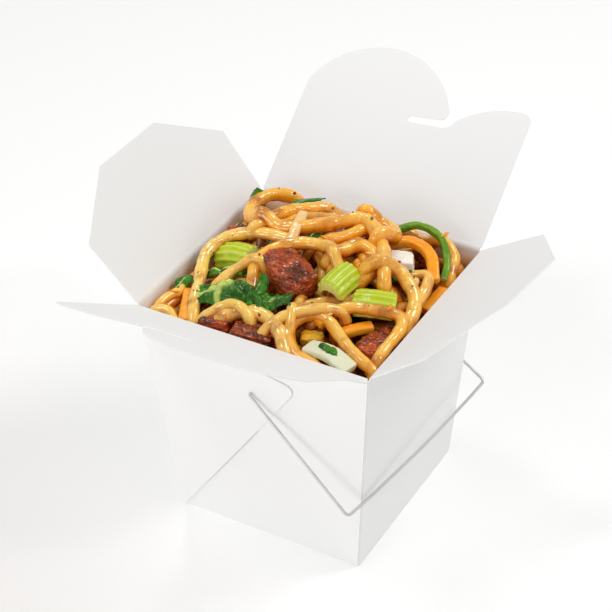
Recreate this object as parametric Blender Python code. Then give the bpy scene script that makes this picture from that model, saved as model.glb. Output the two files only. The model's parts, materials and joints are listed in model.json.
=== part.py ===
"""Wire-handled folded paper takeaway box, open, with its four lid flaps and a heap of noodles.

The tub is one folded sheet: a square base, four walls that flare towards the rim, and corner webs
folded flat over the front and back walls. Two side flaps and two hooked main flaps turn on the
rim creases. A wire bail hooks through the front and back walls. Noodles fill the tub, and pieces
of beef, celery, carrot, leaf, cabbage and egg lie on them.

Frame: origin at the middle of the base's underside, +Z up, the front wall at -Y, metres.
"""

import math
import random

import bmesh
import bpy
import numpy as np
from mathutils import Matrix, Vector

MM = 0.001

# Tub, outside sizes of the bare panels
RIM = 105.5 * MM
TOP_HALF_X = 52.5 * MM
TOP_HALF_Y = 48.9 * MM
BASE_HALF_X = 42.5 * MM
BASE_HALF_Y = 42.0 * MM
BOARD = 0.5 * MM
GAP = 0.3 * MM

# Corner webs: a doubled triangle of board from each corner edge, folded over the front and back
WEB = 0.7 * MM
WEB_LEAN = math.radians(54.5)
WEB_DROP = 1.8 * MM
WEB_TIP = Vector((19.0 * MM, 88.5 * MM))
WEB_TIP_RADIUS = 4.5 * MM

# Lid flaps
CREASE = 1.0 * MM
MAIN_HALF = 52.2 * MM
SIDE_HALF = 48.2 * MM
FRONT_REST = math.radians(33.5)
BACK_REST = math.radians(39.0)
LEFT_REST = math.radians(50.0)
RIGHT_REST = math.radians(33.5)

# Wire bail
WIRE_RADIUS = 0.65 * MM
FRONT_PIVOT = Vector((-1.0, -49.8, 79.4)) * MM
BACK_PIVOT = Vector((-1.0, 49.8, 79.4)) * MM
FRONT_CORNER = Vector((46.3, -56.8, 40.8)) * MM
BACK_CORNER = Vector((54.3, 51.0, 36.8)) * MM
BAIL_BEND = 2.2 * MM
HOOK_BEND = 1.1 * MM
BAIL_BOW = 1.5 * MM
PIVOT_HOLE = 1.3 * MM
HOOK_DEPTH = 2.7 * MM

# Noodle heap: the level of its edge below the rim on each side, and its crown
HEAP_FRONT = -6.5 * MM
HEAP_BACK = -3.5 * MM
HEAP_LEFT = -5.0 * MM
HEAP_RIGHT = -6.0 * MM
HEAP_CROWN = 10.5 * MM
HEAP_STEP = 3.3 * MM
POCKET_GAP = 0.5 * MM

WHITE_BOARD = (0.86, 0.86, 0.86)
STEEL = (0.62, 0.62, 0.6)
NOODLE = (0.66, 0.36, 0.12)
BEEF = (0.22, 0.06, 0.025)
CELERY = (0.42, 0.6, 0.08)
CARROT = (0.8, 0.22, 0.03)
LEAF = (0.02, 0.16, 0.03)
PALE_STEM = (0.76, 0.78, 0.55)
EGG = (0.86, 0.6, 0.12)


def clear_scene():
    """Remove whatever the scene holds."""
    for old in list(bpy.data.objects):
        bpy.data.objects.remove(old)


def material(name, color, roughness, metallic=0.0):
    """Return the Principled material of that name, made once."""
    made = bpy.data.materials.get(name)
    if made is None:
        made = bpy.data.materials.new(name)
        made.use_nodes = True
        shader = made.node_tree.nodes["Principled BSDF"]
        shader.inputs["Base Color"].default_value = (*color, 1.0)
        shader.inputs["Roughness"].default_value = roughness
        shader.inputs["Metallic"].default_value = metallic
    return made


def new_object(name, verts, faces, finish):
    """Return a linked mesh object with its faces turned outward."""
    mesh = bpy.data.meshes.new(name)
    shape = bmesh.new()
    made = [shape.verts.new(v) for v in verts]
    for face in faces:
        shape.faces.new([made[i] for i in face])
    bmesh.ops.recalc_face_normals(shape, faces=shape.faces)
    shape.to_mesh(mesh)
    shape.free()
    obj = bpy.data.objects.new(name, mesh)
    bpy.context.scene.collection.objects.link(obj)
    mesh.materials.append(finish)
    return obj


def boolean(target, other, operation):
    """Join or cut target by other, which stays as a hidden helper."""
    other.hide_render = True
    other.display_type = "WIRE"
    modifier = target.modifiers.new(f"{operation.lower()} {other.name}", "BOOLEAN")
    modifier.operation = operation
    modifier.object = other
    modifier.solver = "EXACT"


def arc(centre, radius, start, end, count):
    """Points of an arc in a plane, angles in degrees."""
    angles = np.radians(np.linspace(start, end, count))
    return [(centre[0] + radius * math.cos(a), centre[1] + radius * math.sin(a)) for a in angles]


def smooth_route(points, count):
    """Points evenly along a Catmull-Rom curve through the given ones."""
    pts = [Vector(p) for p in points]
    pts = [2 * pts[0] - pts[1], *pts, 2 * pts[-1] - pts[-2]]
    fine = []
    for i in range(1, len(pts) - 2):
        p0, p1, p2, p3 = pts[i - 1 : i + 3]
        for t in np.linspace(0, 1, 24, endpoint=False):
            fine.append(
                0.5 * (2 * p1 + (p2 - p0) * t + (2 * p0 - 5 * p1 + 4 * p2 - p3) * t**2
                       + (3 * p1 - p0 - 3 * p2 + p3) * t**3)
            )
    fine.append(pts[-2])
    run = np.cumsum([0.0] + [(b - a).length for a, b in zip(fine, fine[1:])])
    flat = np.array([list(p) for p in fine])
    places = np.linspace(0, run[-1], count)
    return [Vector([np.interp(s, run, flat[:, k]) for k in range(3)]) for s in places]


# ---------------------------------------------------------------- tub

def half_size(z):
    """The outside half width and half depth of the bare panels at a height."""
    share = z / RIM
    return (
        BASE_HALF_X + (TOP_HALF_X - BASE_HALF_X) * share,
        BASE_HALF_Y + (TOP_HALF_Y - BASE_HALF_Y) * share,
    )


def frustum(name, low, high, inset, finish):
    """A tapered block between two heights, inside the panels by inset."""
    verts = []
    for z in (low, high):
        x, y = half_size(z)
        x, y = x - inset, y - inset
        verts += [(-x, -y, z), (x, -y, z), (x, y, z), (-x, y, z)]
    faces = [(0, 3, 2, 1), (4, 5, 6, 7)]
    faces += [(i, (i + 1) % 4, (i + 1) % 4 + 4, i + 4) for i in range(4)]
    return new_object(name, verts, faces, finish)


def web_outline():
    """The left web's outline on the front wall, as (x, z), from the base corner round its tip."""
    fold = Vector((math.cos(WEB_LEAN), math.sin(WEB_LEAN)))
    foot_x = -BASE_HALF_X + 0.3 * MM
    foot = Vector((foot_x, 0.2 * MM))
    top = Vector((-TOP_HALF_X + 0.4 * MM, RIM - WEB_DROP))
    edge = (top - WEB_TIP).normalized()
    corner = WEB_TIP
    reach = WEB_TIP_RADIUS * math.tan(fold.angle(edge) / 2)
    start = corner - fold * reach
    stop = corner + edge * reach
    rounded = [start.lerp(corner, t).lerp(corner.lerp(stop, t), t) for t in np.linspace(0, 1, 6)]
    return [foot, *rounded, top]


def web(name, side, hand, depth, finish):
    """A web plate on the wall at side (-1 front, 1 back), from the corner edge on one hand."""
    outline = web_outline()
    verts = []
    for out in (-0.2 * MM, depth):
        for x, z in outline:
            verts.append((hand * x, side * (half_size(z)[1] + out), z))
    n = len(outline)
    faces = [tuple(range(n)), tuple(range(n, 2 * n))]
    faces += [(i, (i + 1) % n, (i + 1) % n + n, i + n) for i in range(n)]
    return new_object(name, verts, faces, finish)


def rod(name, start, end, radius, sides, finish):
    """A round bar between two points."""
    along = (end - start).normalized()
    across = along.orthogonal().normalized()
    up = along.cross(across)
    turns = [2 * math.pi * i / sides for i in range(sides)]
    ring = [radius * (across * math.cos(a) + up * math.sin(a)) for a in turns]
    verts = [start + r for r in ring] + [end + r for r in ring]
    faces = [tuple(range(sides)), tuple(range(sides, 2 * sides))]
    faces += [(i, (i + 1) % sides, (i + 1) % sides + sides, i + sides) for i in range(sides)]
    return new_object(name, verts, faces, finish)


def build_tub():
    """The folded tub with its webs and the two holes for the wire."""
    finish = material("white board", WHITE_BOARD, 0.5)
    tub = frustum("tub", 0.0, RIM - CREASE, 0.0, finish)
    boolean(tub, frustum("cutter_hollow", BOARD, RIM + 5 * MM, BOARD, finish), "DIFFERENCE")
    for side in (-1, 1):
        for hand, depth in ((-side, 2 * WEB), (side, WEB)):
            name = f"helper_web_{'front' if side < 0 else 'back'}_{'outer' if depth > WEB else 'inner'}"
            boolean(tub, web(name, side, hand, depth, finish), "UNION")
    along = (BACK_PIVOT - FRONT_PIVOT).normalized() * 6 * MM
    hole = rod("cutter_wire_holes", FRONT_PIVOT - along, BACK_PIVOT + along, PIVOT_HOLE, 12, finish)
    boolean(tub, hole, "DIFFERENCE")
    return tub


# ---------------------------------------------------------------- flaps

def main_flap_outline():
    """The hooked main flap, (u along the crease, v outward), anticlockwise from the right end."""
    half = MAIN_HALF
    lobe_centre, lobe_radius = (-18 * MM, 40 * MM), 37 * MM
    kink = math.degrees(math.acos((-half - lobe_centre[0]) / lobe_radius))
    shoulder_centre, shoulder_radius = (47.6 * MM, 22 * MM), 40 * MM
    points = [(half, CREASE), (half, 57.4 * MM)]
    points += arc((half - 4.4 * MM, 57.6 * MM), 4.4 * MM, 5, 88, 5)
    points += arc(shoulder_centre, shoulder_radius, 91, 134, 8)
    points += arc((13.6 * MM, 55.9 * MM), 9.0 * MM, -48, -92, 5)
    points += arc((0.8 * MM, 47.6 * MM), 1.5 * MM, 260, 100, 5)
    points += arc((13.3 * MM, 52.9 * MM), 2.6 * MM, -85, 25, 5)
    points += arc(lobe_centre, lobe_radius, 21, kink, 18)
    points += [(-half, CREASE)]
    return points


def side_flap_outline():
    """The six-sided side flap, (u along the crease, v outward)."""
    right = [(SIDE_HALF, CREASE), (50.2 * MM, 30.5 * MM), (19.5 * MM, 52.0 * MM)]
    return right + [(-u, v) for u, v in reversed(right)]


def flap(name, outline, hinge, along, outward, rest):
    """A flat flap hinged at a point, its origin on the crease, lifted by the rest angle."""
    slope = outward * math.cos(rest) + Vector((0, 0, 1)) * math.sin(rest)
    normal = along.cross(slope)
    verts = [along * u + slope * v + normal * side for side in (-BOARD / 2, BOARD / 2)
             for u, v in outline]
    n = len(outline)
    faces = [tuple(range(n)), tuple(range(n, 2 * n))]
    faces += [(i, (i + 1) % n, (i + 1) % n + n, i + n) for i in range(n)]
    made = new_object(name, verts, faces, material("white board", WHITE_BOARD, 0.5))
    made.location = hinge
    return made


def build_flaps():
    """The two main flaps, alike by a half turn, and the two side flaps."""
    x, y = Vector((1, 0, 0)), Vector((0, 1, 0))
    across_x, across_y = TOP_HALF_X - BOARD / 2, TOP_HALF_Y - BOARD / 2
    hook, six = main_flap_outline(), side_flap_outline()
    flap("flap_front", hook, Vector((0, -across_y, RIM)), -x, -y, FRONT_REST)
    flap("flap_back", hook, Vector((0, across_y, RIM)), x, y, BACK_REST)
    flap("flap_left", six, Vector((-across_x, 0, RIM)), y, -x, LEFT_REST)
    flap("flap_right", six, Vector((across_x, 0, RIM)), y, x, RIGHT_REST)


# ---------------------------------------------------------------- bail

def rounded_path(points, radii, steps):
    """The path with each inner corner turned by a curve of that size."""
    path = [points[0]]
    for before, corner, after, radius in zip(points, points[1:], points[2:], radii):
        start = corner + (before - corner).normalized() * radius
        stop = corner + (after - corner).normalized() * radius
        path += [start.lerp(corner, t).lerp(corner.lerp(stop, t), t) for t in np.linspace(0, 1, steps)]
    return path + [points[-1]]


def build_bail():
    """The wire: two hooked ends, two arms and a slightly bowed bar."""
    inward = Vector((0, HOOK_DEPTH, 0))
    outward = (FRONT_CORNER - FRONT_PIVOT).normalized()
    bar = [FRONT_CORNER.lerp(BACK_CORNER, t) + outward * (4 * BAIL_BOW * t * (1 - t))
           for t in (0, 0.12, 0.5, 0.88, 1)]
    corners = [FRONT_PIVOT + inward, FRONT_PIVOT, *bar, BACK_PIVOT, BACK_PIVOT - inward]
    bends = [HOOK_BEND, BAIL_BEND, 9 * MM, 20 * MM, 9 * MM, BAIL_BEND, HOOK_BEND]
    path = rounded_path(corners, bends, 6)
    curve = bpy.data.curves.new("bail", "CURVE")
    curve.dimensions = "3D"
    curve.bevel_depth = WIRE_RADIUS
    curve.bevel_resolution = 2
    curve.use_fill_caps = True
    spline = curve.splines.new("POLY")
    spline.points.add(len(path) - 1)
    for point, place in zip(spline.points, path):
        point.co = (*(place - FRONT_PIVOT), 1.0)
    curve.materials.append(material("steel wire", STEEL, 0.25, 1.0))
    bail = bpy.data.objects.new("bail", curve)
    bail.location = FRONT_PIVOT
    bpy.context.scene.collection.objects.link(bail)


# ---------------------------------------------------------------- toppings

def chunk(name, centre, size, turn, tilt, seed, finish, facets=2):
    """An uneven lump: a rounded block with its corners pulled about."""
    rng = random.Random(seed)
    shape = bmesh.new()
    bmesh.ops.create_cube(shape, size=1.0)
    bmesh.ops.subdivide_edges(shape, edges=shape.edges, cuts=facets, use_grid_fill=True)
    for vert in shape.verts:
        blunt = vert.co.normalized() * 0.62
        vert.co = vert.co.lerp(blunt, 0.42)
        vert.co *= 1 + rng.uniform(-0.07, 0.09)
    spin = Matrix.Rotation(turn, 4, "Z") @ Matrix.Rotation(tilt, 4, "Y")
    shape.transform(Matrix.Translation(centre) @ spin @ Matrix.Diagonal((*size, 1.0)))
    bmesh.ops.recalc_face_normals(shape, faces=shape.faces)
    mesh = bpy.data.meshes.new(name)
    shape.to_mesh(mesh)
    shape.free()
    mesh.materials.append(finish)
    obj = bpy.data.objects.new(name, mesh)
    bpy.context.scene.collection.objects.link(obj)
    return obj


def sweep(name, route, section, finish, steps=9, taper=0.75):
    """A closed section swept along a route, its ends a little smaller."""
    path = smooth_route(route, steps)
    verts, n = [], len(section)
    for i, place in enumerate(path):
        along = (path[min(i + 1, steps - 1)] - path[max(i - 1, 0)]).normalized()
        side = along.cross(Vector((0, 0, 1))).normalized()
        up = side.cross(along)
        size = taper if i in (0, steps - 1) else 1.0
        verts += [place + side * a * size + up * b * size for a, b in section]
    faces = [tuple(range(n)), tuple(range((steps - 1) * n, steps * n))]
    for i in range(steps - 1):
        for k in range(n):
            a, b = i * n + k, i * n + (k + 1) % n
            faces.append((a, b, b + n, a + n))
    return new_object(name, verts, faces, finish)


def bar_section(width, height):
    """A bar's section with blunt corners."""
    w, h = width / 2, height / 2
    c = min(w, h) * 0.35
    return [(w, -h + c), (w, h - c), (w - c, h), (-w + c, h), (-w, h - c), (-w, -h + c),
            (-w + c, -h), (w - c, -h)]


def channel_section(width, height, ridges=5):
    """A celery rib's section: ridged above, hollowed below."""
    top = []
    for i in range(2 * ridges + 1):
        t = math.pi * i / (2 * ridges)
        swell = 1.0 if i % 2 else 0.9
        top.append((width / 2 * math.cos(t) * swell, height * 0.85 * math.sin(t) * swell))
    return top + [(-width * 0.2, height * 0.12), (width * 0.2, height * 0.12)]


def leaf(name, route, width, curl, seed, finish, steps=9, thickness=1.3 * MM):
    """A crumpled leaf: a wavy sheet, widest in its middle, with real thickness."""
    rng = random.Random(seed)
    path = smooth_route(route, steps)
    columns = (-1.0, -0.5, 0.0, 0.5, 1.0)
    phase = rng.uniform(0, math.tau)
    upper = []
    for i, place in enumerate(path):
        t = i / (steps - 1)
        along = (path[min(i + 1, steps - 1)] - path[max(i - 1, 0)]).normalized()
        side = along.cross(Vector((0, 0, 1))).normalized()
        half = width / 2 * (0.3 + 0.7 * math.sin(math.pi * min(0.12 + 0.86 * t, 1.0)) ** 0.7)
        half *= 1 + rng.uniform(-0.12, 0.12)
        for c in columns:
            ruffle = curl * abs(c) * math.sin(phase + 7.5 * t + 2.2 * c)
            upper.append(place + side * half * c + Vector((0, 0, ruffle - 0.25 * half * c * c)))
    n = len(columns)
    lower = [v - Vector((0, 0, thickness)) for v in upper]
    verts = upper + lower
    shift = len(upper)
    faces = []
    for i in range(steps - 1):
        for k in range(n - 1):
            a = i * n + k
            quad = (a, a + 1, a + n + 1, a + n)
            faces.append(quad)
            faces.append(tuple(v + shift for v in reversed(quad)))
    rim = list(range(n - 1)) + [i * n + n - 1 for i in range(steps - 1)]
    rim += [(steps - 1) * n + k for k in range(n - 1, 0, -1)] + [i * n for i in range(steps - 1, 0, -1)]
    for a, b in zip(rim, rim[1:] + rim[:1]):
        faces.append((a, b, b + shift, a + shift))
    return new_object(name, verts, faces, finish)


def at(x, y, above):
    """A point given in mm, its height from the rim."""
    return Vector((x * MM, y * MM, RIM + above * MM))


def build_beef():
    """Chunks of browned beef."""
    finish = material("beef", BEEF, 0.4)
    chunks = (
        ("beef_centre", at(-5, -9.5, 5.0), (24, 15, 12.5), -32, 6),
        ("beef_front_left", at(-22, -38.5, -6), (13, 10, 9), 15, 0),
        ("beef_front", at(-3.5, -40, -6.2), (19, 10, 10), 8, 0),
        ("beef_right", at(42, -22, -6.5), (19, 10.5, 9.5), 68, 0),
        ("beef_back_right", at(31.5, 37.5, -1.6), (9.5, 6, 5.5), -20, 0),
        ("beef_back_left", at(-42, 13.5, 0.0), (11, 7, 6.5), 25, 0),
    )
    made = []
    for seed, (name, centre, size, turn, tilt) in enumerate(chunks, start=3):
        size = tuple(s * MM for s in size)
        turn, tilt = math.radians(turn), math.radians(tilt)
        facets = 2 if size[0] > 12 * MM else 1
        made.append(chunk(name, centre, size, turn, tilt, seed, finish, facets))
    return made


def build_celery():
    """Cut lengths of celery rib."""
    finish = material("celery", CELERY, 0.3)
    section = channel_section(12.5 * MM, 9.5 * MM)
    flat = channel_section(13.5 * MM, 8.5 * MM)
    routes = (
        ("celery_centre", (at(15.6, -13.5, 3.6), at(16.6, -6.5, 4.6), at(17.6, 0.5, 4.6)), section),
        ("celery_right", (at(25.4, -8.5, -0.8), at(32.5, -7.5, 0.4), at(40, -4.5, -0.8)), flat),
        ("celery_left", (at(-41.5, -2.4, -2.5), at(-34, -1.8, 0.0), at(-26.5, -2.2, 0.5)), flat),
    )
    return [sweep(name, route, shape, finish, steps=4, taper=0.94) for name, route, shape in routes]


def build_carrots():
    """Carrot cut into sticks, some bent by cooking."""
    finish = material("carrot", CARROT, 0.35)
    stick = bar_section(5.4 * MM, 4.2 * MM)
    routes = (
        ("carrot_left", (at(-34, -43.5, -5.5), at(-38, -35, -4.5), at(-42, -26.5, -3.5)), 5),
        ("carrot_centre", (at(3.4, -25.0, 0.0), at(9, -23.8, 1.0),
                           at(15, -23.8, 1.0), at(20.5, -25.6, 0.0)), 7),
        ("carrot_arc", (at(20, 29, 5.5), at(29, 32.5, 6.5), at(39, 29, 5.0), at(45.5, 19, 0.5)), 9),
        ("carrot_right", (at(47.5, 6.5, -5.5), at(48.5, 14, -4.8), at(48.5, 22, -4.4)), 5),
        ("carrot_front", (at(25.6, -25.6, -3.8), at(30.6, -20.4, -2.8), at(35.6, -15, -3.0)), 5),
    )
    return [sweep(name, route, stick, finish, steps) for name, route, steps in routes]


def build_leaves():
    """Cooked bok choy leaves, lying folded over the noodles."""
    finish = material("leaf", LEAF, 0.3)
    leaves = (
        ("leaf_front", (at(-35, -31.5, 0.5), at(-27, -27.4, 3.0), at(-17, -25.6, 4.4),
                        at(-7.5, -27.4, 4.0), at(-1.5, -32.0, 2.4)), 11.5, 1.1),
        ("leaf_left", (at(-40.5, -15.2, -0.2), at(-34, -15, 2.0),
                       at(-28, -14.2, 3.4), at(-22, -12.6, 3.8)), 8, 0.8),
        ("leaf_far_left", (at(-47.8, -28, -2.6), at(-46, -24, -0.6), at(-42.5, -21.5, -0.6)), 6.5, 0.5),
        ("leaf_corner", (at(-42.3, 27, 2.0), at(-43.8, 30.5, 7.0), at(-44.8, 33, 12.0)), 6.5, 0.4),
        ("leaf_back", (at(-31, 26, 7.0), at(-27, 31, 9.0),
                       at(-21.5, 36, 10.2), at(-16, 40.3, 10.8)), 6, 0.4),
        ("leaf_edge", (at(-48.0, -3.5, -2.6), at(-47.6, 1, -0.6), at(-46.4, 5.5, 1.0)), 4.5, 0.3),
    )
    made = []
    for seed, (name, route, width, curl) in enumerate(leaves, start=21):
        made.append(leaf(name, route, width * MM, curl * MM, seed, finish))
    return made


def build_pale_pieces():
    """Pale stems, onion, cabbage, a bean sprout, a long green stem and scraps of egg."""
    pale = material("pale stem", PALE_STEM, 0.3)
    green = material("celery", CELERY, 0.3)
    egg = material("egg", EGG, 0.45)
    made = [
        sweep("stem_front", (at(19, -37.5, -3.6), at(30, -39, -2.2), at(40.5, -41.8, -4.6)),
              bar_section(8.6 * MM, 3.6 * MM), pale, 6),
        chunk("onion", at(30, 19.5, 3.5), (10.5 * MM, 9.5 * MM, 9 * MM), 0.5, 0.1, 41, pale),
        sweep("sprout_centre", (at(-12.5, 5, 10.5), at(-14.5, 14, 12.5), at(-16.5, 23, 13.0)),
              bar_section(4.6 * MM, 3.0 * MM), pale, 4),
        sweep("sprout_right", (at(40.5, 7.5, 2.5), at(40.2, 13, 3.6)),
              bar_section(4.4 * MM, 3.6 * MM), pale, 3),
        leaf("cabbage_back", (at(-9, 40.6, 3.2), at(1, 41.8, 4.0), at(10, 42, 3.4), at(17.5, 41.6, 1.6)),
             6.5 * MM, 0.5 * MM, 51, pale),
        sweep("green_stem", (at(20, 37.5, 7.2), at(27, 43, 8.0), at(38, 40.5, 6.2), at(45.5, 31, 2.5),
                             at(47.5, 24, -1.0)), bar_section(2.8 * MM, 2.8 * MM), green, 11),
        chunk("egg_front", at(17, -30.0, -5.6), (9 * MM, 6 * MM, 5 * MM), 0.3, 0.0, 43, egg, 1),
        chunk("egg_right", at(46, -33.5, -8.5), (6 * MM, 5 * MM, 4 * MM), 0.9, 0.0, 44, egg, 1),
    ]
    return made


# ---------------------------------------------------------------- noodle heap

def heap_level(x, y):
    """The heap's height at a place: the edge levels on the four sides and a broad crown."""
    across, along = x / TOP_HALF_X, y / TOP_HALF_Y
    left, right = max(-across, 0.0) ** 1.5, max(across, 0.0) ** 1.5
    front, back = max(-along, 0.0) ** 1.5, max(along, 0.0) ** 1.5
    weights = left + right + front + back + 1e-6
    edge = (HEAP_LEFT * left + HEAP_RIGHT * right + HEAP_FRONT * front + HEAP_BACK * back) / weights
    dome = (1 - abs(across) ** 2.6) * (1 - abs(along - 0.06) ** 2.6)
    lumps = math.sin(x * 410 + 1.2) * math.cos(y * 370 - 0.6) + 0.6 * math.sin(x * 730 - y * 640)
    return RIM + edge + (HEAP_CROWN - edge) * max(dome, 0.0) ** 0.85 + 0.7 * MM * lumps * max(dome, 0.0)


def samples_of(pieces):
    """Points all over the toppings, as rows of x, y, z."""
    points = []
    for piece in pieces:
        mesh = piece.data
        corners = [v.co for v in mesh.vertices]
        points += [tuple(c) for c in corners]
        for face in mesh.polygons:
            points.append(tuple(face.center))
            for a, b in face.edge_keys:
                points.append(tuple((corners[a] + corners[b]) / 2))
    return np.array(points)


def build_heap(toppings):
    """The noodles out to their uneven outline, with a hollow under each topping."""
    inset = BOARD + GAP
    half_x, half_y = half_size(RIM - 8 * MM)
    half_x, half_y = half_x - inset, half_y - inset
    columns = round(2 * half_x / HEAP_STEP) + 1
    rows = round(2 * half_y / HEAP_STEP) + 1
    held = samples_of(toppings)
    verts = []
    for along in np.linspace(-1, 1, rows):
        for across in np.linspace(-1, 1, columns):
            x, y = across * half_x, along * half_y
            level = heap_level(x, y)
            near = held[np.hypot(held[:, 0] - x, held[:, 1] - y) < 1.45 * HEAP_STEP]
            if len(near):
                level = min(level, near[:, 2].min() - POCKET_GAP)
            wall_x, wall_y = half_size(min(level, RIM - 2 * MM))
            verts.append((across * (wall_x - inset), along * (wall_y - inset), level))
    faces = []
    for r in range(rows - 1):
        for c in range(columns - 1):
            a = r * columns + c
            faces.append((a, a + 1, a + columns + 1, a + columns))
    rim = list(range(columns)) + [r * columns + columns - 1 for r in range(1, rows)]
    rim += [(rows - 1) * columns + c for c in range(columns - 2, -1, -1)]
    rim += [r * columns for r in range(rows - 2, 0, -1)]
    floor = 2 * inset
    foot = half_size(floor)
    shift = len(verts)
    for i in rim:
        wall_x, wall_y = half_size(min(verts[i][2], RIM - 2 * MM))
        scale_x, scale_y = (foot[0] - inset) / (wall_x - inset), (foot[1] - inset) / (wall_y - inset)
        verts.append((verts[i][0] * scale_x, verts[i][1] * scale_y, floor))
    n = len(rim)
    faces += [(rim[i], rim[(i + 1) % n], shift + (i + 1) % n, shift + i) for i in range(n)]
    faces.append(tuple(range(shift, shift + n)))
    return new_object("noodles", verts, faces, material("noodles", NOODLE, 0.35))


def main():
    """Build the box, its handle and its contents."""
    clear_scene()
    build_tub()
    build_flaps()
    build_bail()
    toppings = build_beef() + build_celery() + build_carrots() + build_leaves() + build_pale_pieces()
    build_heap(toppings)


main()
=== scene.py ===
"""A white folded paper takeaway box, open, heaped with sauced noodles, beef and vegetables.

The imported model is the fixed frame. This script dresses it: a folded board tub with its corner
webs, four creased lid flaps, a bright wire bail, a heap of real noodles laid one over another,
and finely shaped toppings where the frame's food pieces lie.
"""

from __future__ import annotations

import json
import logging
import math
import random
from collections.abc import Callable, Iterable, Sequence
from dataclasses import dataclass, field
from enum import Enum

import bmesh
import bpy
import numpy as np
from mathutils import Matrix, Vector, noise
from mathutils.bvhtree import BVHTree

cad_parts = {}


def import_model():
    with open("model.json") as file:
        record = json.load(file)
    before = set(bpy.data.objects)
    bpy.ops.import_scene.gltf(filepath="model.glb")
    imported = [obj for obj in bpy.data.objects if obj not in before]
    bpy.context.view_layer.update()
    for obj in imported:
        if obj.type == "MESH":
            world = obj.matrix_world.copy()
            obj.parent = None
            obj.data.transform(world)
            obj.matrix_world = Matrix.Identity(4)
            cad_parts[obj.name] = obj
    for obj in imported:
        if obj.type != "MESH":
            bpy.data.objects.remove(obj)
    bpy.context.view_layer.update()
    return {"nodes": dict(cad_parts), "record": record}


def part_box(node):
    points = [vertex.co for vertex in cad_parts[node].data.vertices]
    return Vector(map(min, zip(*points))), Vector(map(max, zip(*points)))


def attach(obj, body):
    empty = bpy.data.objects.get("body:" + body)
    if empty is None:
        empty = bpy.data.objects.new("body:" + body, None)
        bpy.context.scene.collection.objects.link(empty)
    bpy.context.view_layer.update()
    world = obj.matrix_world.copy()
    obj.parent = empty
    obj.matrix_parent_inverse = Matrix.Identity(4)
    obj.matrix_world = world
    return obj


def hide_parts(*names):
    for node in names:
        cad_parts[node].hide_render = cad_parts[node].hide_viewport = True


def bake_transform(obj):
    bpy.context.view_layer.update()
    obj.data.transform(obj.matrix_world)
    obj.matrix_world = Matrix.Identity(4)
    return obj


LOG = logging.getLogger("takeaway_box")
MM = 0.001
UP = Vector((0.0, 0.0, 1.0))
NOISE_SEED = 11

Colour = tuple[float, float, float]
Point = tuple[float, float, float]
Node = bpy.types.Node
Piece = bpy.types.Object
Socket = bpy.types.NodeSocket


class Body(Enum):
    """The frame's moving bodies."""

    BOX = "box"
    FRONT_FLAP = "front_flap"
    BACK_FLAP = "back_flap"
    LEFT_FLAP = "left_flap"
    RIGHT_FLAP = "right_flap"
    WIRE = "wire"


class Slot(Enum):
    """The record's material slots."""

    BOARD = "white_board"
    WIRE = "steel_wire"
    NOODLES = "noodles"
    BEEF = "beef"
    CELERY = "celery"
    CARROT = "carrot"
    LEAF = "leaf"
    PALE = "pale_stem"
    EGG = "egg"


# ---------------------------------------------------------------- node sheets


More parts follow.
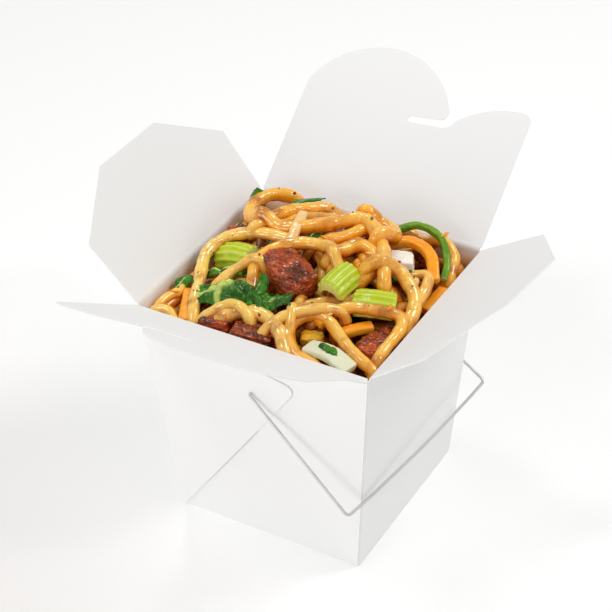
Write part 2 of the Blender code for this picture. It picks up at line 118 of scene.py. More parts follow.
class NodeSheet:
    """A node tree with short calls to add nodes and join their sockets."""

    def __init__(self, tree: bpy.types.NodeTree) -> None:
        """Keep the tree that nodes are added to."""
        self.tree = tree

    def add(self, kind: str, inputs: dict | None = None, **settings: object) -> Node:
        """Add a node.

        Args:
            kind: The node's type, without its ShaderNode prefix.
            inputs: Values or sockets by input name or index.
            settings: The node's own properties.

        Returns:
            The new node.
        """
        node = self.tree.nodes.new(f"ShaderNode{kind}")
        for name, value in settings.items():
            setattr(node, name, value)
        for key, value in (inputs or {}).items():
            if isinstance(value, Socket):
                self.tree.links.new(value, node.inputs[key])
            else:
                node.inputs[key].default_value = value
        return node

    def math(self, operation: str, first: Socket | float, second: Socket | float = 0.0) -> Socket:
        """Return the result of a Math node."""
        return self.add("Math", {0: first, 1: second}, operation=operation).outputs[0]

    def plus(self, first: Socket | float, second: Socket | float) -> Socket:
        """Return the sum of two values."""
        return self.math("ADD", first, second)

    def times(self, first: Socket | float, second: Socket | float) -> Socket:
        """Return the product of two values."""
        return self.math("MULTIPLY", first, second)

    def without(self, value: Socket) -> Socket:
        """Return one less a value."""
        return self.math("SUBTRACT", 1.0, value)

    def position(self) -> Socket:
        """Return the surface point in the frame's own metres."""
        return self.add("TexCoord").outputs["Object"]

    def mask(self, name: str) -> Socket:
        """Return a value that the piece stores at its points."""
        return self.add("Attribute", attribute_name=name).outputs["Fac"]

    def noise(self, place: Socket, scale: Socket | float, detail: float = 3.0,
              distortion: float = 0.0) -> Socket:
        """Return a noise value.

        Args:
            place: The point to read it at.
            scale: Features per metre.
            detail: Octaves.
            distortion: How far the noise bends itself.

        Returns:
            A value about one half.
        """
        inputs = {"Vector": place, "Scale": scale, "Detail": detail, "Distortion": distortion}
        return self.add("TexNoise", inputs).outputs["Fac"]

    def stretched(self, place: Socket, scale: Point) -> Socket:
        """Return the point with each axis scaled."""
        return self.add("Mapping", {"Vector": place, "Scale": scale}).outputs[0]

    def step(self, value: Socket, low: float, high: float) -> Socket:
        """Return the value's smooth rise from 0 at low to 1 at high."""
        inputs = {"Value": value, "From Min": low, "From Max": high}
        return self.add("MapRange", inputs, interpolation_type="SMOOTHSTEP").outputs["Result"]

    def blend(self, amount: Socket | float, first: Socket | Colour, second: Socket | Colour) -> Socket:
        """Return first mixed towards second by amount.

        Args:
            amount: The share of the second colour.
            first: The colour at 0.
            second: The colour at 1.

        Returns:
            The mixed colour.
        """
        node = self.add("Mix", data_type="RGBA")
        for slot, value in ((0, amount), (6, first), (7, second)):
            if isinstance(value, Socket):
                self.tree.links.new(value, node.inputs[slot])
            elif isinstance(value, tuple):
                node.inputs[slot].default_value = (*value, 1.0)
            else:
                node.inputs[slot].default_value = value
        return node.outputs[2]

    def bump(self, height: Socket, strength: float, distance: float) -> Socket:
        """Return the normal turned by a height."""
        inputs = {"Height": height, "Strength": strength, "Distance": distance}
        return self.add("Bump", inputs).outputs["Normal"]


@dataclass(frozen=True)
class ShaderEffect:
    """A shader node group shared by several finishes, made once by its painter."""

    name: str
    inputs: tuple[tuple[str, str, object], ...]
    outputs: tuple[tuple[str, str], ...]
    paint: Callable[[NodeSheet, Node], dict[str, Socket]]

    def group(self) -> bpy.types.NodeTree:
        """Make the group on first use.

        Returns:
            Its node tree.
        """
        made = bpy.data.node_groups.get(self.name)
        if made:
            return made
        made = bpy.data.node_groups.new(self.name, "ShaderNodeTree")
        for name, kind, value in self.inputs:
            socket = made.interface.new_socket(name, in_out="INPUT", socket_type=kind)
            if value is not None:
                socket.default_value = value
        for name, kind in self.outputs:
            made.interface.new_socket(name, in_out="OUTPUT", socket_type=kind)
        sheet = NodeSheet(made)
        entry, leave = made.nodes.new("NodeGroupInput"), made.nodes.new("NodeGroupOutput")
        for name, socket in self.paint(sheet, entry).items():
            made.links.new(socket, leave.inputs[name])
        return made

    def place(self, sheet: NodeSheet, inputs: dict) -> Node:
        """Put the group into a material with its own values.

        Args:
            sheet: The material's nodes.
            inputs: Values or sockets by input name.

        Returns:
            The group's node.
        """
        node = sheet.tree.nodes.new("ShaderNodeGroup")
        node.node_tree = self.group()
        for key, value in inputs.items():
            if isinstance(value, Socket):
                sheet.tree.links.new(value, node.inputs[key])
            else:
                node.inputs[key].default_value = (*value, 1.0) if isinstance(value, tuple) else value
        return node


def paint_sauce(sheet: NodeSheet, entry: Node) -> dict[str, Socket]:
    """Draw pooled sauce, its faint film and pepper specks.

    Args:
        sheet: The group's nodes.
        entry: The group's input node.

    Returns:
        The group's outputs by name.
    """
    place = sheet.position()
    pools = sheet.noise(place, 95.0, 4.0, 0.6)
    pooled = sheet.times(sheet.step(pools, 0.47, 0.72), entry.outputs["Amount"])
    film = sheet.times(sheet.noise(place, 420.0, 3.0, 0.4), 0.35)
    cover = sheet.math("MINIMUM", sheet.plus(pooled, sheet.times(film, pooled)), 1.0)
    stained = sheet.blend(cover, entry.outputs["Colour"], entry.outputs["Sauce"])
    grains = sheet.add("TexVoronoi", {"Vector": place, "Scale": 620.0}, feature="F1")
    near = sheet.without(sheet.step(grains.outputs["Distance"], 0.10, 0.20))
    chosen = sheet.step(grains.outputs["Color"], 0.60, 0.66)
    specks = sheet.times(sheet.times(near, chosen), entry.outputs["Specks"])
    peppered = sheet.blend(specks, stained, (0.10, 0.028, 0.008))
    rough = sheet.plus(0.20, sheet.times(sheet.noise(place, 260.0, 3.0), 0.22))
    height = sheet.plus(sheet.times(sheet.noise(place, 700.0, 2.0), 0.5), pools)
    return {"Colour": peppered, "Roughness": rough, "Height": height}


def paint_cells(sheet: NodeSheet, entry: Node) -> dict[str, Socket]:
    """Draw soft plant flesh: broad pale patches and fine cells.

    Args:
        sheet: The group's nodes.
        entry: The group's input node.

    Returns:
        The group's outputs by name.
    """
    place = sheet.position()
    broad = sheet.step(sheet.noise(place, entry.outputs["Scale"], 3.0, 0.8), 0.36, 0.66)
    fine = sheet.noise(place, 1500.0, 2.0)
    mixed = sheet.plus(sheet.times(broad, 0.8), sheet.times(fine, 0.2))
    share = sheet.times(mixed, entry.outputs["Amount"])
    colour = sheet.blend(share, entry.outputs["Colour"], entry.outputs["Pale"])
    rough = sheet.plus(0.16, sheet.times(sheet.noise(place, 300.0, 2.0), 0.22))
    height = sheet.plus(broad, sheet.times(fine, 0.4))
    return {"Colour": colour, "Roughness": rough, "Height": height}


def paint_fibre(sheet: NodeSheet, entry: Node) -> dict[str, Socket]:
    """Draw coated paper board: faint cloudiness, fibre grain and a slight mill direction.

    Args:
        sheet: The group's nodes.
        entry: The group's input node.

    Returns:
        The group's outputs by name.
    """
    place = sheet.position()
    cloud = sheet.noise(place, 42.0, 3.0)
    grain = sheet.noise(sheet.stretched(place, (1.0, 1.0, 0.35)), 2600.0, 3.0)
    mill = sheet.noise(sheet.stretched(place, (0.25, 0.25, 1.0)), 520.0, 2.0)
    mixed = sheet.plus(sheet.times(cloud, 0.65), sheet.times(grain, 0.35))
    colour = sheet.blend(mixed, entry.outputs["Colour"], entry.outputs["Shade"])
    height = sheet.plus(sheet.times(grain, 0.6), sheet.times(mill, 0.4))
    rough = sheet.plus(0.42, sheet.times(cloud, 0.14))
    return {"Colour": colour, "Roughness": rough, "Height": height}


SURFACE = (("Colour", "NodeSocketColor"), ("Roughness", "NodeSocketFloat"), ("Height", "NodeSocketFloat"))
SAUCE = ShaderEffect(
    "sauce_coat",
    (("Colour", "NodeSocketColor", None), ("Sauce", "NodeSocketColor", None),
     ("Amount", "NodeSocketFloat", 0.5), ("Specks", "NodeSocketFloat", 0.5)),
    SURFACE,
    paint_sauce,
)
CELLS = ShaderEffect(
    "plant_flesh",
    (("Colour", "NodeSocketColor", None), ("Pale", "NodeSocketColor", None),
     ("Amount", "NodeSocketFloat", 0.5), ("Scale", "NodeSocketFloat", 150.0)),
    SURFACE,
    paint_cells,
)
FIBRE = ShaderEffect(
    "board_fibre",
    (("Colour", "NodeSocketColor", None), ("Shade", "NodeSocketColor", None)),
    SURFACE,
    paint_fibre,
)


# ---------------------------------------------------------------- finishes


@dataclass(frozen=True)
class Finish:
    """What every finish has: a name, and a Principled material made on first use."""

    name: str

    def material(self) -> bpy.types.Material:
        """Make the finish's material on first use.

        Returns:
            The material.
        """
        made = bpy.data.materials.get(self.name)
        if made:
            return made
        made = bpy.data.materials.new(self.name)
        made.use_nodes = True
        self.dress(NodeSheet(made.node_tree), made.node_tree.nodes["Principled BSDF"])
        return made

    def dress(self, sheet: NodeSheet, shader: Node) -> None:
        """Wire the material's own nodes into its shader."""
        raise NotImplementedError

    @staticmethod
    def join(sheet: NodeSheet, shader: Node, sockets: dict[str, Socket]) -> None:
        """Link sockets to the shader's inputs by name."""
        for name, socket in sockets.items():
            sheet.tree.links.new(socket, shader.inputs[name])

    def surface(self, sheet: NodeSheet, shader: Node, *sockets: Socket) -> None:
        """Link a surface's colour, roughness and normal to the shader."""
        self.join(sheet, shader, dict(zip(("Base Color", "Roughness", "Normal"), sockets)))

    @staticmethod
    def fix(shader: Node, values: dict[str, float | tuple]) -> None:
        """Set the shader inputs that are the same all over."""
        for name, value in values.items():
            shader.inputs[name].default_value = value


@dataclass(frozen=True)
class BoardFinish(Finish):
    """Smooth white coated board, clean or stained by sauce up to a height."""

    colour: Colour = (0.88, 0.88, 0.872)
    shade: Colour = (0.85, 0.85, 0.84)
    stain_from: float | None = None
    stain_to: float = 0.0

    def dress(self, sheet: NodeSheet, shader: Node) -> None:
        """Wire fibre grain, and the stain where there is one.

        Args:
            sheet: The material's nodes.
            shader: Its Principled shader.
        """
        fibre = FIBRE.place(sheet, {"Colour": self.colour, "Shade": self.shade})
        colour = fibre.outputs["Colour"]
        if self.stain_from is not None:
            place = sheet.position()
            height = sheet.add("SeparateXYZ", {0: place}).outputs["Z"]
            ragged = sheet.times(sheet.noise(place, 130.0, 4.0), 0.010)
            level = sheet.plus(height, ragged)
            darkened = sheet.without(sheet.step(level, self.stain_from, self.stain_to))
            colour = sheet.blend(sheet.times(darkened, 0.8), colour, (0.84, 0.56, 0.25))
        normal = sheet.bump(fibre.outputs["Height"], 0.10, 0.00006)
        self.surface(sheet, shader, colour, fibre.outputs["Roughness"], normal)
        self.fix(shader, {"Specular IOR Level": 0.42})


@dataclass(frozen=True)
class WireFinish(Finish):
    """Bright drawn steel with faint draw lines."""

    colour: Colour = (0.30, 0.30, 0.285)

    def dress(self, sheet: NodeSheet, shader: Node) -> None:
        """Wire draw lines and handling marks.

        Args:
            sheet: The material's nodes.
            shader: Its Principled shader.
        """
        place = sheet.position()
        lines = sheet.noise(sheet.stretched(place, (6.0, 1.0, 6.0)), 500.0, 3.0)
        marks = sheet.noise(place, 240.0, 3.0)
        rough = sheet.plus(0.16, sheet.times(marks, 0.22))
        colour = sheet.blend(lines, self.colour, (0.17, 0.17, 0.16))
        normal = sheet.bump(lines, 0.15, 0.00004)
        self.surface(sheet, shader, colour, rough, normal)
        self.fix(shader, {"Metallic": 1.0})


@dataclass(frozen=True)
class NoodleFinish(Finish):
    """Cooked wheat noodle in glossy brown sauce, paler or deeper by the noodle's own tone, with painted shade
    on undersides and deep in the heap and a painted highlight on tops.
    """

    pale: Colour = (1.0, 0.65, 0.14)
    golden: Colour = (1.0, 0.43, 0.014)
    deep: Colour = (0.74, 0.20, 0.003)
    sauce: Colour = (0.46, 0.095, 0.002)
    amount: float = 0.72
    specks: float = 0.85

    def dress(self, sheet: NodeSheet, shader: Node) -> None:
        """Wire tone, sauce, specks, painted shade and highlight, and a glossy coat.

        Args:
            sheet: The material's nodes.
            shader: Its Principled shader.
        """
        tone = sheet.mask("tone")
        drift = sheet.noise(sheet.position(), 60.0, 2.0)
        shift = sheet.plus(tone, sheet.times(sheet.math("SUBTRACT", drift, 0.5), 0.9))
        dough = sheet.blend(sheet.step(shift, 0.0, 0.9), self.pale, self.golden)
        # Painted shade: undersides and sides, by the normal's height, darken towards the deep colour; real
        # browning by tone is mixed in.
        facing = sheet.add("SeparateXYZ", {0: sheet.add("NewGeometry").outputs["Normal"]}).outputs["Z"]
        below = sheet.without(sheet.step(facing, -0.6, 0.72))
        browned = sheet.step(shift, 0.70, 1.30)
        darkened = sheet.math("MAXIMUM", sheet.times(below, 0.85), sheet.times(browned, 0.6))
        dough = sheet.blend(darkened, dough, self.deep)
        # Painted highlight: upward-facing tops lighten towards the pale colour.
        painted_top_highlight = sheet.times(sheet.step(facing, 0.65, 1.0), 0.42)
        dough = sheet.blend(painted_top_highlight, dough, self.pale)
        # Painted shade: noodles deep in the heap or under toppings darken towards the sauce colour.
        depth = sheet.mask("depth")
        dough = sheet.blend(sheet.times(depth, 0.85), dough, self.sauce)
        coat = SAUCE.place(sheet, {
            "Colour": dough,
            "Sauce": self.sauce,
            "Amount": self.amount,
            "Specks": self.specks,
        })
        normal = sheet.bump(coat.outputs["Height"], 0.22, 0.00022)
        gloss = sheet.plus(0.50, sheet.times(sheet.step(drift, 0.35, 0.62), 0.50))
        self.surface(sheet, shader, coat.outputs["Colour"], coat.outputs["Roughness"], normal)
        self.join(sheet, shader, {"Coat Weight": gloss})
        self.fix(shader, {
            "Subsurface Weight": 0.16,
            "Subsurface Radius": (1.0, 0.45, 0.15),
            "Subsurface Scale": 0.0016,
            "Specular IOR Level": 0.3,
            "Specular Tint": (1.0, 0.72, 0.36, 1.0),
            "Coat IOR": 1.8,
            "Coat Roughness": 0.12,
        })


@dataclass(frozen=True)
class SaucyFinish(Finish):
    """Cooked food with fibres along one way and a sauce film: beef, egg, onion, shoots and the bed; the beef
    also gets painted shade in its pits and cracks.
    """

    colour: Colour = (0.3, 0.1, 0.04)
    deep: Colour = (0.1, 0.02, 0.01)
    sauce: Colour = (0.30, 0.07, 0.01)
    amount: float = 0.5
    specks: float = 0.4
    fibre: Point = (1.0, 1.0, 1.0)
    fibre_scale: float = 420.0
    relief: float = 0.0004
    glow: float = 0.0
    coat: float = 0.4
    pit_shade: float = 0.0

    def dress(self, sheet: NodeSheet, shader: Node) -> None:
        """Wire fibres, browning, painted shade in pits, sauce and a glossy coat.

        Args:
            sheet: The material's nodes.
            shader: Its Principled shader.
        """
        place = sheet.position()
        strands = sheet.noise(sheet.stretched(place, self.fibre), self.fibre_scale, 4.0, 0.5)
        browning = sheet.noise(place, 110.0, 4.0, 0.4)
        dark = sheet.step(sheet.plus(sheet.times(strands, 0.6), sheet.times(browning, 0.6)), 0.47, 0.75)
        flesh = sheet.blend(dark, self.colour, self.deep)
        # Painted shade: pits and cracks, by the piece's hollow mask, darken towards the deep colour.
        if self.pit_shade:
            hollow = sheet.times(sheet.mask("hollow"), self.pit_shade)
            flesh = sheet.blend(hollow, flesh, self.deep)
        coat = SAUCE.place(sheet, {
            "Colour": flesh,
            "Sauce": self.sauce,
            "Amount": self.amount,
            "Specks": self.specks,
        })
        height = sheet.plus(strands, sheet.times(coat.outputs["Height"], 0.3))
        normal = sheet.bump(height, 0.5, self.relief)
        self.surface(sheet, shader, coat.outputs["Colour"], coat.outputs["Roughness"], normal)
        self.fix(shader, {
            "Specular IOR Level": 0.32,
            "Specular Tint": (1.0, 0.70, 0.45, 1.0),
            "Subsurface Weight": self.glow,
            "Subsurface Scale": 0.0015,
            "Coat Weight": self.coat,
            "Coat Roughness": 0.14,
        })


@dataclass(frozen=True)
class PlantFinish(Finish):
    """Cooked vegetable flesh, pale towards its ribs by the piece's own rib mask."""

    colour: Colour = (0.4, 0.55, 0.06)
    pale: Colour = (0.6, 0.7, 0.2)
    rib: Colour = (0.75, 0.8, 0.5)
    amount: float = 0.6
    relief: float = 0.0003
    glow: float = 0.12
    coat: float = 0.5
    shine: float = 0.3
    tint: Colour = (0.92, 1.0, 0.60)
    patches: float = 150.0

    def dress(self, sheet: NodeSheet, shader: Node) -> None:
        """Wire flesh, ribs and a glossy coat.

        Args:
            sheet: The material's nodes.
            shader: Its Principled shader.
        """
        flesh = CELLS.place(sheet, {
            "Colour": self.colour,
            "Pale": self.pale,
            "Amount": self.amount,
            "Scale": self.patches,
        })
        mask = sheet.mask("rib")
        colour = sheet.blend(mask, flesh.outputs["Colour"], self.rib)
        normal = sheet.bump(flesh.outputs["Height"], 0.35, self.relief)
        self.surface(sheet, shader, colour, flesh.outputs["Roughness"], normal)
        self.fix(shader, {
            "Subsurface Weight": self.glow,
            "Specular IOR Level": self.shine,
            "Specular Tint": (*self.tint, 1.0),
            "Subsurface Radius": (0.6, 1.0, 0.3),
            "Subsurface Scale": 0.0012,
            "Coat Weight": self.coat,
            "Coat Roughness": 0.10,
        })


@dataclass(frozen=True)
class StudioFinish(Finish):
    """The plain pale floor, with a painted soft shadow towards the front left."""

    colour: Colour = (0.93, 0.93, 0.93)
    painted_shadow: Colour = (0.91, 0.855, 0.825)
    painted_shadow_way: Point = (-0.45, -0.89, 0.0)
    lift: float = 0.13

    def dress(self, sheet: NodeSheet, shader: Node) -> None:
        """Wire a barely uneven matt white, with a painted warm shadow towards the front left.

        Args:
            sheet: The material's nodes.
            shader: Its Principled shader.
        """
        place = sheet.position()
        tone = sheet.noise(place, 3.0, 2.0)
        colour = sheet.blend(tone, self.colour, tuple(c * 0.992 for c in self.colour))
        # Painted shadow: towards the front left the floor's colour and glow turn darker and warmer.
        toward = sheet.add("VectorMath", {0: place, 1: self.painted_shadow_way}, operation="DOT_PRODUCT")
        colour = sheet.blend(sheet.step(toward.outputs["Value"], 0.02, 0.30), colour, self.painted_shadow)
        self.join(sheet, shader, {"Base Color": colour, "Emission Color": colour})
        self.fix(shader, {"Roughness": 0.9, "Emission Strength": self.lift})


WHITE = BoardFinish("white_board")
LINER = BoardFinish("board_liner", stain_from=0.102, stain_to=0.1095)
STEEL = WireFinish("steel_wire")
DOUGH = NoodleFinish("noodle_dough")
# The bed's dark colours are sauce deepened into painted shade that shows between the noodles.
BED = SaucyFinish("sauced_bed", (0.34, 0.085, 0.006), (0.10, 0.014, 0.001), (0.20, 0.035, 0.002), 0.8, 0.6,
                  relief=0.0008)
MEAT = SaucyFinish("browned_beef", (0.56, 0.080, 0.010), (0.075, 0.009, 0.002), (0.24, 0.028, 0.003),
                   0.45, 0.35, fibre=(0.5, 0.9, 2.4), relief=0.0007, coat=0.5, pit_shade=0.8)
RIB = PlantFinish("celery_rib", (0.47, 0.60, 0.006), (0.62, 0.70, 0.03), (0.78, 0.84, 0.24), 0.6, glow=0.25)
STALK = PlantFinish("green_stalk", (0.075, 0.235, 0.006), (0.23, 0.42, 0.02), (0.5, 0.66, 0.2), 0.7)
ROOT = PlantFinish("carrot_flesh", (1.0, 0.33, 0.008), (1.0, 0.46, 0.022), (0.92, 0.36, 0.03), 0.7)
GREEN = PlantFinish("leaf_green", (0.003, 0.045, 0.001), (0.050, 0.26, 0.006), (0.60, 0.72, 0.16), 0.9,
                    relief=0.0007, glow=0.05, coat=0.35, shine=0.5, tint=(0.62, 1.0, 0.36), patches=170.0)
PALE = PlantFinish("pale_stem", (0.86, 0.82, 0.40), (0.94, 0.91, 0.62), (0.50, 0.62, 0.10), 0.8, glow=0.2)
ONION = SaucyFinish("onion_flesh", (0.97, 0.94, 0.87), (0.95, 0.87, 0.72), (0.90, 0.66, 0.34), 0.06, 0.05,
                    glow=0.2, relief=0.0002, coat=0.4)
SHOOT = SaucyFinish("bean_shoot", (0.95, 0.70, 0.36), (0.90, 0.56, 0.22), (0.80, 0.38, 0.06), 0.3, 0.2,
                    glow=0.2, relief=0.0002, coat=0.4)
CURD = SaucyFinish("egg_curd", (0.92, 0.62, 0.06), (0.90, 0.44, 0.015), (0.7, 0.26, 0.01), 0.3, 0.2,
                   relief=0.0006)
FLOOR = StudioFinish("studio_floor")


# ---------------------------------------------------------------- mesh making


def new_piece(name: str, verts: Iterable, faces: Iterable, finish: Finish,
              sharp: float = 50.0) -> Piece:
    """Make a linked mesh piece, smooth but for its sharp edges.

    Args:
        name: The piece's name.
        verts: Its points, in the frame's metres.
        faces: Its faces, as point indices.
        finish: Its finish.
        sharp: Edges turning more than this many degrees stay sharp.

    Returns:
        The object.
    """
    mesh = bpy.data.meshes.new(name)
    mesh.from_pydata([tuple(v) for v in verts], [], [tuple(f) for f in faces])
    mesh.validate()
    shape = bmesh.new()
    shape.from_mesh(mesh)
    bmesh.ops.recalc_face_normals(shape, faces=shape.faces)
    shape.to_mesh(mesh)
    shape.free()
    mesh.shade_smooth()
    mesh.set_sharp_from_angle(angle=math.radians(sharp))
    mesh.materials.append(finish.material())
    made = bpy.data.objects.new(name, mesh)
    bpy.context.scene.collection.objects.link(made)
    return made


def paint_points(piece: Piece, name: str, values: Sequence[float]) -> None:
    """Store one value per point for the finish to read."""
    layer = piece.data.attributes.new(name, "FLOAT", "POINT")
    layer.data.foreach_set("value", np.asarray(values, np.float32))


def seat(piece: Piece, body: Body, slot: Slot, *nodes: str) -> Piece:
    """Give a piece its body, and hide the frame nodes it stands for.

    Args:
        piece: The piece.
        body: The body it rides.
        slot: Its material slot; not used.
        nodes: The nodes it replaces, if any.

    Returns:
        The same piece.
    """
    if nodes:
        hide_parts(*nodes)
    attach(piece, body.value)
    return piece


def band(start: int, count: int) -> list[tuple[int, int, int, int]]:
    """Join a closed ring of points to the ring after it.

    Args:
        start: The first ring's first point.
        count: The points in each ring.

    Returns:
        The faces between them.
    """
    faces = []
    for k in range(count):
        a, b = start + k, start + (k + 1) % count
        faces.append((a, b, b + count, a + count))
    return faces


def respaced(path: np.ndarray, spacing: float) -> np.ndarray:
    """Space a path's points evenly.

    Args:
        path: The path's points, one a row.
        spacing: The distance between results.

    Returns:
        The new points, at least three.
    """
    run = np.concatenate([[0], np.cumsum(np.linalg.norm(np.diff(path, axis=0), axis=1))])
    places = np.linspace(0, run[-1], max(3, round(run[-1] / spacing) + 1))
    return np.column_stack([np.interp(places, run, path[:, k]) for k in range(3)])


def smooth_route(points: Sequence[Point], spacing: float) -> np.ndarray:
    """Draw a Catmull-Rom curve through some points.

    Args:
        points: The curve's own points.
        spacing: The distance between results.

    Returns:
        An array of points, one a row.
    """
    pts = np.array(points, float)
    pts = np.vstack([2 * pts[0] - pts[1], pts, 2 * pts[-1] - pts[-2]])
    fine = []
    for i in range(1, len(pts) - 2):
        p0, p1, p2, p3 = pts[i - 1 : i + 3]
        for t in np.linspace(0, 1, 30, endpoint=False):
            fine.append(0.5 * (2 * p1 + (p2 - p0) * t + (2 * p0 - 5 * p1 + 4 * p2 - p3) * t * t
                               + (3 * p1 - p0 - 3 * p2 + p3) * t**3))
    fine.append(pts[-2])
    return respaced(np.array(fine), spacing)


def smooth_even(path: np.ndarray, spacing: float) -> np.ndarray:
    """Soften a path and space its points evenly.

    Args:
        path: The path's points, one a row.
        spacing: The distance between results.

    Returns:
        The softened path.
    """
    for _ in range(3):
        path = np.vstack([path[:1], (path[:-2] + 2 * path[1:-1] + path[2:]) / 4, path[-1:]])
    return respaced(path, spacing)


def within(node: str, shares: Sequence[Point]) -> list[Point]:
    """Return points given as shares of a frame node's box, in the frame's metres."""
    low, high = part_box(node)
    return [tuple(low[i] + s[i] * (high[i] - low[i]) for i in range(3)) for s in shares]


def travelling_frames(path: np.ndarray) -> tuple[np.ndarray, np.ndarray, np.ndarray]:
    """Find tangents, sides and ups along a path, turned as little as the path allows.

    Args:
        path: The path's points, one a row.

    Returns:
        The three unit directions at each point.
    """
    along = np.gradient(path, axis=0)
    along /= np.linalg.norm(along, axis=1)[:, None] + 1e-12
    side = np.zeros_like(along)
    first = np.cross(along[0], (0, 0, 1.0))
    side[0] = first / (np.linalg.norm(first) + 1e-9)
    for i in range(1, len(path)):
        carried = side[i - 1] - along[i] * np.dot(side[i - 1], along[i])
        side[i] = carried / (np.linalg.norm(carried) + 1e-9)
    return along, side, np.cross(side, along)


def sweep_rings(path: np.ndarray, sections: np.ndarray, level: bool) -> tuple[np.ndarray, list]:
    """Sweep sections along a path into a closed surface.

    Args:
        path: The path's points.
        sections: One closed section per point, or one for all, as side and up offsets.
        level: Whether the section's up stays nearest to the world's.

    Returns:
        The surface's points and faces.
    """
    along, side, up = travelling_frames(path)
    if level:
        side = np.cross(along, (0, 0, 1.0))
        side /= np.linalg.norm(side, axis=1)[:, None] + 1e-9
        up = np.cross(side, along)
    if sections.ndim == 2:
        sections = np.repeat(sections[None], len(path), axis=0)
    rings = path[:, None] + sections[:, :, :1] * side[:, None] + sections[:, :, 1:] * up[:, None]
    n, rows = sections.shape[1], len(path)
    faces = [tuple(range(n)), tuple(range((rows - 1) * n, rows * n))]
    for i in range(rows - 1):
        faces += band(i * n, n)
    return rings.reshape(-1, 3), faces


def panel_mesh(outline: Sequence[tuple[float, float]], cell: float, thick: float,
               place: Callable[[float, float], tuple[Vector, Vector]]) -> tuple[list[Vector], list]:
    """Turn a flat outline into a sheet with thickness, cut into small cells so that it can bend.

    Args:
        outline: The outline's points in the sheet's own plane.
        cell: The cells' size.
        thick: The sheet's thickness.
        place: Gives the middle point and the normal at a point of the plane.

    Returns:
        The sheet's points and faces.
    """
    flat = bmesh.new()
    flat.faces.new([flat.verts.new((u, v, 0.0)) for u, v in outline])
    for axis in (0, 1):
        low, high = min(p[axis] for p in outline), max(p[axis] for p in outline)
        normal = (1, 0, 0) if axis == 0 else (0, 1, 0)
        for step in np.arange(low + cell, high - cell * 0.3, cell):
            point = tuple(n * float(step) for n in normal)
            every = flat.verts[:] + flat.edges[:] + flat.faces[:]
            bmesh.ops.bisect_plane(flat, geom=every, dist=1e-7, plane_co=point, plane_no=normal)
    bmesh.ops.triangulate(flat, faces=[f for f in flat.faces if len(f.verts) > 4])
    flat.verts.index_update()
    spots = [place(v.co.x, v.co.y) for v in flat.verts]
    count = len(spots)
    verts = [p + n * thick / 2 for p, n in spots] + [p - n * thick / 2 for p, n in spots]
    faces = [tuple(v.index for v in f.verts) for f in flat.faces]
    faces += [tuple(v.index + count for v in reversed(f.verts)) for f in flat.faces]
    for edge in flat.edges:
        if len(edge.link_faces) == 1:
            a, b = (v.index for v in edge.verts)
            faces.append((a, b, b + count, a + count))
    flat.free()
    return verts, faces


def arc(centre: tuple[float, float], radius: float, start: float, end: float, count: int) -> list:
    """Return points of an arc in a plane, angles in degrees."""
    angles = np.radians(np.linspace(start, end, count))
    return [(centre[0] + radius * math.cos(a), centre[1] + radius * math.sin(a)) for a in angles]


def evaluated_tree(names: Iterable[str], nodes: dict) -> BVHTree:
    """Gather some frame nodes for ray casts.

    Args:
        names: The nodes' names.
        nodes: The frame's nodes by name.

    Returns:
        One search tree over them all.
    """
    verts, faces = [], []
    for name in names:
        mesh = nodes[name].data
        shift = len(verts)
        verts += [v.co.copy() for v in mesh.vertices]
        faces += [tuple(i + shift for i in p.vertices) for p in mesh.polygons]
    return BVHTree.FromPolygons(verts, faces)


# ---------------------------------------------------------------- the box


